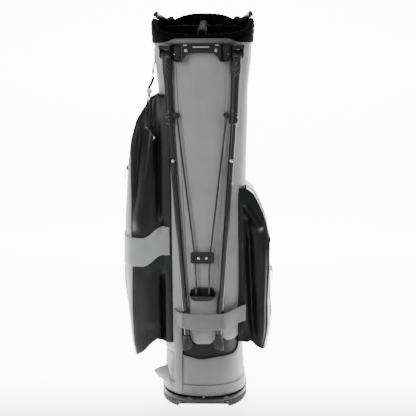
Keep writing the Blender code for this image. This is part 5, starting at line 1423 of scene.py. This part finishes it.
def pocket_pieces(pocket, node, word, fade):
    """Front gusset, outer side and back gusset, sewn together over a piping cord, and the bottom."""
    def corner(v):
        return 2.0 + 1.9 * ease((v - fade) / 0.14)
    facts = {"replaces": [node]}
    hide(f"{word}_front", 56, 120, lambda u, v: on_pocket(pocket, u * corner(v), v), 0.0018, "dark_leather", **facts)
    cap = fade + 0.03
    hide(f"{word}_side", 48, 90, lambda u, v: on_pocket(pocket, lerp(corner(v * cap), 7, u), v * cap), 0.0018,
         "grey_leather", **facts)
    hide(f"{word}_cap", 48, 40, lambda u, v: on_pocket(pocket, lerp(corner(lerp(cap, 1, v)), 7, u), lerp(cap, 1, v)),
         0.0018,
         "dark_leather", **facts)
    hide(f"{word}_back", 32, 90, lambda u, v: on_pocket(pocket, lerp(7, 9, u), v), 0.0018, "dark_leather", **facts)

    def under(u, v):
        a, b = on_pocket(pocket, 4.5 * u, 0, -0.0006), on_pocket(pocket, 9 - 4.5 * u, 0, -0.0006)
        return a.lerp(b, v)
    hide(f"{word}_bottom", 36, 18, under, 0.0018, "dark_leather", **facts)
    heights = [k / 90 for k in range(91)]
    line(f"{word}_piping_front", [on_pocket(pocket, corner(v), v, 0.0006) for v in heights], 0.0015, "dark_leather")
    line(f"{word}_piping_back", [on_pocket(pocket, 7, v, 0.0006) for v in heights], 0.0015, "dark_leather")
    line(f"{word}_piping_low", [on_pocket(pocket, 9 * k / 72, 0.0005, 0.0004) for k in range(73)], 0.0014,
         "dark_leather")
    line(f"{word}_seam_piping", [on_pocket(pocket, 0.03, v, 0.0008) for v in heights[:-2]], 0.0013, "dark_leather")
    # the facing strip sewn along the body seam
    hide(f"{word}_facing", 8, 100, lambda u, v: on_pocket(pocket, lerp(0.05, 0.36, u), lerp(0.004, 0.93, v), 0.0016),
         0.0011, "facing_leather", 0.0003)
    stitches(f"{word}_facing_stitches", [on_pocket(pocket, 0.31, lerp(0.006, 0.925, k / 80),
                                                   0.0019) for k in range(81)],
             "dark_thread", thick=0.0004)
    stitches(f"{word}_side_stitches", [on_pocket(pocket, corner(v) + 0.16, v,
                                                 0.0003) for v in heights[:int(90 * fade)]],
             "grey_thread", thick=0.0003)


pocket_pieces(APPAREL, "apparel_pocket", "apparel", 0.76)
pocket_pieces(BALL, "ball_pocket", "ball", 0.66)


# the grey band round the apparel pocket
def band_place(u, v):
    t = lerp(0.10, 5.0, u)
    low = lerp(BAND_LOW + 0.0280, BAND_LOW, ease((u - 0.07) / 0.20)) + 0.0008 * sin(u * 9)
    z = low + lerp(0.0630, 0.0680, u) * v
    share = (z - APPAREL["low"]) / (APPAREL["high"] - APPAREL["low"])
    return on_pocket(APPAREL, t, share, 0.0030)


hide("band", 90, 14, band_place, 0.0018, "band_leather", 0.0004, replaces=["pocket_band"])
for v, tag in ((0.045, "low"), (0.955, "top")):
    stitches(f"band_stitches_{tag}", [band_place(k / 80, v) + Vector((0, -0.0002, 0)) for k in range(81)],
             "grey_thread")
for u, tag in ((0.012, "a"), (0.034, "b")):
    stitches(f"band_stitches_{tag}", [band_place(u, k / 12) + Vector((0, -0.0003, 0)) for k in range(13)],
             "grey_thread")

# the mesh sleeve below it: an elastic bag gathered along its upper hem
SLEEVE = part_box("mesh_sleeve")


def sleeve_place(u, v):
    y, z = lerp(SLEEVE[0].y, SLEEVE[1].y, u), lerp(SLEEVE[0].z, SLEEVE[1].z, v)
    swell = sin(pi * u) ** 0.7 * sin(pi * clamp01(v * 0.9 + 0.08)) ** 0.5
    share = (z - APPAREL["low"]) / (APPAREL["high"] - APPAREL["low"])
    t = lerp(4.05, 4.95, u)
    gather = 0.0007 * cos(TURN * 9 * u) * v ** 2
    spot = on_pocket(APPAREL, t, share, 0.0012 + 0.0052 * swell + gather)
    return Vector((spot.x, y, spot.z))


hide("sleeve", 64, 60, sleeve_place, 0.0008, "black_mesh", replaces=["mesh_sleeve"])
line("sleeve_hem", [sleeve_place(k / 40, 1.0) for k in range(41)], 0.0014, "grey_binding")


def zip_parts(pocket, word, side):
    """Woven tape, two rows of teeth, the slider and its pull."""
    low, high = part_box(f"{word}_zip")
    y = (low.y + high.y) / 2
    bottom, top = low.z + 0.0035, high.z - 0.0035

    def spot(z, dy=0.0, out=0.0):
        share = (z - pocket["low"]) / (pocket["high"] - pocket["low"])
        row = on_pocket(pocket, 4.5, share)
        return Vector((row.x + side * out, y + dy, z))
    for s in (-1, 1):
        hide(f"{word}_tape_{'front' if s < 0 else 'rear'}", 4, 60,
             lambda u, v: spot(lerp(low.z, high.z, v), s * lerp(0.0006, 0.0060, u),
                                                            0.0011 + 0.0003 * u), 0.0008, "black_mesh",
             replaces=[f"{word}_zip"])
        bm = bmesh.new()
        count = int((top - bottom) / 0.0026)
        for k in range(count):
            z = bottom + (k + (0.5 if s > 0 else 0.0)) * 0.0026
            bmesh.ops.create_cone(bm, cap_ends=True, segments=6, radius1=0.0006, radius2=0.0006, depth=0.0019,
                                  matrix=facing(spot(z, s * 0.0008, 0.0015), Vector((0, 1, 0))))
        piece(f"{word}_teeth_{'front' if s < 0 else 'rear'}", bm, "zip_metal", replaces=[f"{word}_zip"], angle=180,
              recalc=False)
        line(f"{word}_tape_welt_{'front' if s < 0 else 'rear'}", [spot(lerp(low.z, high.z, k / 20), s * 0.0066,
                                                                       0.0008) for k in range(21)], 0.0009,
             "dark_leather")
    s_low, s_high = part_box(f"{word}_zip_slider")
    middle = (s_low + s_high) / 2
    half_d, half_w, half_h = (s_high.x - s_low.x) / 2, (s_high.y - s_low.y) / 2, (s_high.z - s_low.z) / 2
    outline = [(-0.9, 1), (0.9, 1), (1, 0.55), (0.55, -0.2), (0.62, -1), (-0.62, -1), (-0.55, -0.2), (-1, 0.55)]
    bm = plate([(s_low.x + 0.0004, middle.y + a * half_w, middle.z + b * half_h) for a, b in outline],
               (half_d * 2 - 0.0008, 0, 0))
    rounded(bm, 30, 0.0005)
    piece(f"{word}_slider_body", bm, "zip_metal", body=f"{word}_slider", replaces=[f"{word}_zip_slider"])
    p_low, p_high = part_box(f"{word}_zip_puller")
    pm, ph = (p_low + p_high) / 2, (p_high.z - p_low.z) / 2
    sections = []
    mesh = NODES[f"{word}_zip_puller"].data
    high_x = (sum(v.co.x for v in mesh.vertices if v.co.z > pm.z)
              / max(1, sum(1 for v in mesh.vertices if v.co.z > pm.z)))
    low_x = (sum(v.co.x for v in mesh.vertices if v.co.z < pm.z)
             / max(1, sum(1 for v in mesh.vertices if v.co.z < pm.z)))
    for s, w in ((1.0, 0.6), (0.9, 0.9), (0.6, 0.7), (0.3, 0.62), (-0.2, 0.9), (-0.7, 1.0), (-0.93, 0.8),
                 (-1.0, 0.45)):
        z = pm.z + s * ph * 0.985
        sections.append((Vector((lerp(low_x, high_x, (s + 1) / 2), pm.y, z)), 0.0006, 0.0030 * w, (X, Y)))
    piece(f"{word}_pull_tab", ringed(sections, 20, 3.0), "zip_metal", body=f"{word}_puller",
          replaces=[f"{word}_zip_puller"],
          angle=50)


zip_parts(APPAREL, "apparel", -1)
zip_parts(BALL, "ball", 1)


# ---- leg strap ---------------------------------------------------------------------------------

STRAP_WIDTH = 0.0360
leg_y = -0.1067 - 0.0062 - 0.0016
leg_x = lerp(0.0345, 0.0670, (0.2030 - 0.1600) / (0.6320 - 0.1600))
strap_start, strap_end = Vector((-0.0655, -0.0802, 0)), Vector((0.0940, -0.0691 - 0.0022, 0))
strap_line = smooth_route([
    strap_start, (-leg_x - 0.012, leg_y + 0.0035, 0), (-leg_x, leg_y - 0.0012, 0), (-0.016, leg_y - 0.0045, 0),
    (0.016, leg_y - 0.0045, 0), (leg_x, leg_y - 0.0012, 0), (leg_x + 0.014, leg_y + 0.0030, 0),
    (lerp(leg_x, 0.0940, 0.62), lerp(leg_y, strap_end.y, 0.62), 0), strap_end], 10)


def strap_place(u, v):
    spot = spot_on(strap_line, u)
    before, after = spot_on(strap_line, u - 0.01), spot_on(strap_line, u + 0.01)
    run = (after - before).normalized()
    across = Vector((run.y, -run.x, 0))
    middle = lerp(lerp(0.2075, 0.2125, u), 0.2030, sin(pi * u) ** 1.2)
    taper = lerp(0.62, 1.0, ease(u / 0.28))
    half = STRAP_WIDTH / 2 * taper
    lift = 0.0005 * sin(pi * v) + 0.0004 * noise.noise(Vector((u * 9, v * 2, 0)))
    z = middle + (1 - taper) * 0.0120 + half * (2 * v - 1) + 0.0010 * (u > 0.9) * (v - 0.5)
    return Vector((spot.x, spot.y, z)) + across * (0.0010 + lift)


hide("leg_band", 110, 14, strap_place, 0.0020, "strap_leather", 0.0006, body="strap", replaces=["leg_strap"])
for v, tag in ((0.055, "low"), (0.945, "top")):
    stitches(f"strap_stitches_{tag}", [strap_place(lerp(0.01, 0.985, k / 100),
                                                   v) + Vector((0, -0.0003, 0)) for k in range(101)],
             "grey_thread", thick=0.00035, body="strap")
for u, tag in ((0.045, "start"), (0.745, "lap"), (0.985, "end")):
    stitches(f"strap_stitches_{tag}", [strap_place(u, lerp(0.06, 0.94, k / 10)) + Vector((0, -0.0003,
                                                                                          0)) for k in range(11)],
             "dark_thread" if tag == "lap" else "grey_thread", thick=0.00035, body="strap")


# ---- small fittings ----------------------------------------------------------------------------

# the cord's tab, sewn under the collar and folded round its ring
tab_frame = Matrix((tab_out, tab_side, Z)).transposed().to_4x4()
tab_frame.translation = tab_spot


def cord_tab_place(u, v):
    z = lerp(-0.0140, 0.0285, v)
    bulge = 0.0030 * exp(-((v - 0.12) / 0.12) ** 2)
    return tab_frame @ Vector((0.0022 + bulge + 0.0004 * sin(u * pi), lerp(-0.0068, 0.0068, u), z))


hide("cord_holder", 10, 40, cord_tab_place, 0.0016, "grey_binding", 0.0003, replaces=["cord_tab"])
stitches("cord_holder_stitches", [cord_tab_place(k / 6, 0.42) + tab_out * 0.0003 for k in range(7)], "dark_thread")
stitches("cord_holder_stitches_top", [cord_tab_place(k / 6, 0.86) + tab_out * 0.0003 for k in range(7)],
         "dark_thread")
line("pull_ring", [ring_centre + tab_side * RING_REACH * cos(TURN * k / 40)
                   + Vector((0, 0, RING_REACH * sin(TURN * k / 40)))
                   for k in range(40)], RING_WIRE, "bright_steel", cyclic=True, replaces=["cord_ring"], resolution=5)

# the carrying ring, and two eyelets below the collar
STRAP_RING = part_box("strap_ring")
ring_spot = (STRAP_RING[0] + STRAP_RING[1]) / 2
ring_out = Vector((ring_spot.x, ring_spot.y, 0)).normalized()
ring_side = Vector((-ring_out.y, ring_out.x, 0))
line("carry_loop", [ring_spot + ring_side * 0.0095 * cos(TURN * k / 40) + Vector((0, 0, 0.0095 * sin(TURN * k / 40)))
                    for k in range(40)], RING_WIRE, "zip_metal", body="carry_ring", cyclic=True,
                    replaces=["strap_ring"],
     resolution=5)
for dz in (-0.0050, 0.0100):
    spot = shell(radians(6), COLLAR_Z - 0.026 + dz, 0.0008)
    turned(f"eyelet_{dz}", [(0.0014, 0.0008), (0.0022, 0.0012), (0.0034, 0.0006), (0.0036, -0.0004),
                            (0.0014, -0.0004), (0.0014, 0.0008)],
           facing(spot, Vector((spot.x, spot.y, 0))), "painted_tube", steps=20)


# ---- padded straps and pad ----------------------------------------------------------------------

def cushion(name, start, end, low, high, base, full, columns, rows, quilting, replaces, finish="dark_leather",
            waves=0.0):
    """A padded strap on the body: front and back sewn round the edge, puffed by a cloth simulation."""
    def middle(u, v):
        a, z = lerp(start(v), end(v), u), lerp(low, high, v)
        return shell(a, z, base + waves * (0.5 - 0.5 * cos(TURN * 3 * v)))
    bm = bmesh.new()
    bmesh.ops.create_grid(bm, x_segments=columns, y_segments=rows, size=0.5)
    lower = bm.verts[:]
    copied = bmesh.ops.duplicate(bm, geom=bm.verts[:] + bm.edges[:] + bm.faces[:])
    upper = [g for g in copied["geom"] if isinstance(g, bmesh.types.BMVert)]
    for side, verts in ((-1, lower), (1, upper)):
        for vert in verts:
            u, v = clamp01(vert.co.x + 0.5), clamp01(vert.co.y + 0.5)
            rim_free = min(1.0, min(u, 1 - u) * columns / 2.0, min(v, 1 - v) * rows / 2.0)
            crown = full * (min(u, 1 - u) * 2) ** 0.45 * (min(v, 1 - v) * 2) ** 0.25
            seam = max((exp(-(min(abs(v - q), 1) / 0.018) ** 2) for q in quilting), default=0.0)
            crown *= 1 - 0.75 * seam
            spot = middle(u, v)
            out = Vector((spot.x, spot.y, 0)).normalized()
            vert.co = spot + out * (crown if side > 0 else -0.0002) * (1 if rim_free > 0 else 0)
    bmesh.ops.remove_doubles(bm, verts=bm.verts, dist=1e-5)
    bmesh.ops.recalc_face_normals(bm, faces=bm.faces)
    bm.verts.ensure_lookup_table()
    held = []
    for vert in bm.verts:
        spot = vert.co
        z = (spot.z - low) / (high - low)
        on_edge = any(e.calc_face_angle(0) > radians(70) for e in vert.link_edges)
        close = any(abs(z - q) < 0.012 for q in quilting)
        held.append(on_edge or close)
    obj = piece(name, bm, finish, replaces=replaces, angle=70)
    settle_cloth(obj, held)
    return obj


def settle_cloth(obj, held, frames=14):
    """Puffs and wrinkles a sewn piece with a short cloth simulation, and keeps its last shape."""
    group = obj.vertex_groups.new(name="sewn")
    group.add([i for i, h in enumerate(held) if h], 1.0, "REPLACE")
    cloth = obj.modifiers.new("cloth", "CLOTH")
    s = cloth.settings
    s.quality = 5
    s.mass = 0.2
    s.tension_stiffness = 18
    s.compression_stiffness = 12
    s.bending_stiffness = 0.4
    s.vertex_group_mass = "sewn"
    s.use_pressure = True
    s.uniform_pressure_force = 1.2
    s.shrink_min = -0.035
    s.effector_weights.gravity = 0.0
    scene = bpy.context.scene
    cloth.point_cache.frame_start, cloth.point_cache.frame_end = 1, frames
    for f in range(1, frames + 1):
        scene.frame_set(f)
    graph = bpy.context.evaluated_depsgraph_get()
    settled = bpy.data.meshes.new_from_object(obj.evaluated_get(graph))
    old = [v.co.copy() for v in obj.data.vertices]
    moved = [v.co for v in settled.vertices]
    obj.modifiers.clear()
    for vert, a, b in zip(obj.data.vertices, old, moved):
        step = b - a
        if step.length > 0.004:
            step = step.normalized() * 0.004
        vert.co = a + step
    scene.frame_set(1)
    bpy.data.meshes.remove(settled)


cushion("shoulder_right", lambda v: radians(14), lambda v: radians(44), 0.5205, 0.7500, 0.0020, 0.0068, 26, 120,
        (0.12, 0.38, 0.62, 0.86), ["shoulder_strap_right"], waves=0.0014)
cushion("shoulder_left", lambda v: radians(92), lambda v: radians(117), 0.5205, 0.7660, 0.0020, 0.0068, 26, 120,
        (0.12, 0.38, 0.62, 0.86), ["shoulder_strap_left"], waves=0.0014)
cushion("hip_cushion", lambda v: radians(68) + radians(3) * (2 * abs(v - 0.5)) ** 6,
        lambda v: radians(112) - radians(3) * (2 * abs(v - 0.5)) ** 6,
        0.3310, 0.4990, 0.0020, 0.0120, 44, 84, (0.33, 0.67), ["hip_pad"], finish="black_mesh")
for name, angles, low, high in (("right", (14, 44), 0.5205, 0.7500), ("left", (92, 117), 0.5205, 0.7660)):
    for a in angles:
        line(f"shoulder_{name}_binding_{a}", [shell(radians(a), lerp(low, high, k / 60), 0.0020
                                                    + 0.0014 * (0.5 - 0.5 * cos(TURN * 3 * k / 60)))
                                         for k in range(61)],
             0.0013, "black_cord")
    middle_angle = radians(sum(angles) / 2)
    # the webbing that holds the padded strap to the collar
    hide(f"shoulder_{name}_webbing", 8, 24, lambda u, v: shell(middle_angle + lerp(-0.10, 0.10, u),
                                                               lerp(high - 0.006, COLLAR_Z - 0.0010, v),
                                                              0.0036 - 0.0014 * v), 0.0014, "grey_binding", 0.0003)


# ---- floor and light ---------------------------------------------------------------------------

def glow(name, place, aim, size, power, tone="#ffffff"):
    light = bpy.data.lights.new(name, "AREA")
    light.shape = "RECTANGLE"
    light.size, light.size_y = size
    light.energy = power
    light.color = colour(tone)[:3]
    obj = bpy.data.objects.new(name, light)
    obj.location = place
    obj.rotation_euler = (Vector(aim) - Vector(place)).to_track_quat("-Z", "Y").to_euler()
    bpy.context.collection.objects.link(obj)
    return obj


glow("key", (-1.1, -1.8, 1.3), (0, 0, 0.45), (0.7, 1.5), 30)
glow("fill", (1.5, -1.7, 0.8), (0, 0, 0.4), (0.9, 1.4), 3.5)
glow("top", (0, -0.2, 2.2), (0, 0, 0.6), (1.0, 1.0), 8)
glow("edge_left", (-1.4, 0.5, 0.8), (0, 0, 0.4), (0.4, 1.5), 2)
glow("edge_right", (1.4, 0.5, 0.8), (0, 0, 0.4), (0.4, 1.5), 0.4)

# seamless paper, glowing behind the bag like a lit backdrop
floor_material, floor_tree, floor_shader, floor_place = start("studio_paper", "#fbfbfb", 0.9)
fibre = add(floor_tree, "ShaderNodeTexNoise", {"Scale": 1 / (3 * MM), "Detail": 4.0},
            {"Vector": floor_place.outputs["Object"]})
fibre_bump = add(floor_tree, "ShaderNodeBump", {"Strength": 0.05, "Distance": 0.1 * MM},
                 {"Height": fibre.outputs["Fac"]})
floor_tree.links.new(fibre_bump.outputs["Normal"], floor_shader.inputs["Normal"])
floor_shader.inputs["Emission Color"].default_value = colour("#ffffff")
parts = add(floor_tree, "ShaderNodeSeparateXYZ", {}, {"Vector": floor_place.outputs["Object"]})
lit = add(floor_tree, "ShaderNodeMapRange", {"From Min": -0.24, "From Max": 0.05, "To Max": 10.0},
          {"Value": parts.outputs["Y"]})
floor_tree.links.new(lit.outputs["Result"], floor_shader.inputs["Emission Strength"])


def floor_point(u, v):
    """A paper sweep: flat on the floor, then curving up behind."""
    run = lerp(-2.6, 4.0, v)
    if run < 1.6:
        y, z = run, 0.0
    else:
        t = (run - 1.6) / 1.2
        y, z = (1.6 + 0.7 * sin(min(1.0, t) * pi / 2), 0.7 * (1 - cos(min(1.0, t) * pi / 2)) + max(0.0, t - 1) * 1.6)
    return Vector((lerp(-1.5, 1.5, u), y, z - 0.0004))


bm = grid(8, 120, floor_point)
mesh = bpy.data.meshes.new("floor")
bm.to_mesh(mesh)
bm.free()
mesh.shade_smooth()
mesh.materials.append(floor_material)
floor = bpy.data.objects.new("floor", mesh)
bpy.context.collection.objects.link(floor)

world = bpy.data.worlds.new("studio")
world.use_nodes = True
world.node_tree.nodes["Background"].inputs["Color"].default_value = colour("#f4f6f8")
world.node_tree.nodes["Background"].inputs["Strength"].default_value = 0.28
bpy.context.scene.world = world
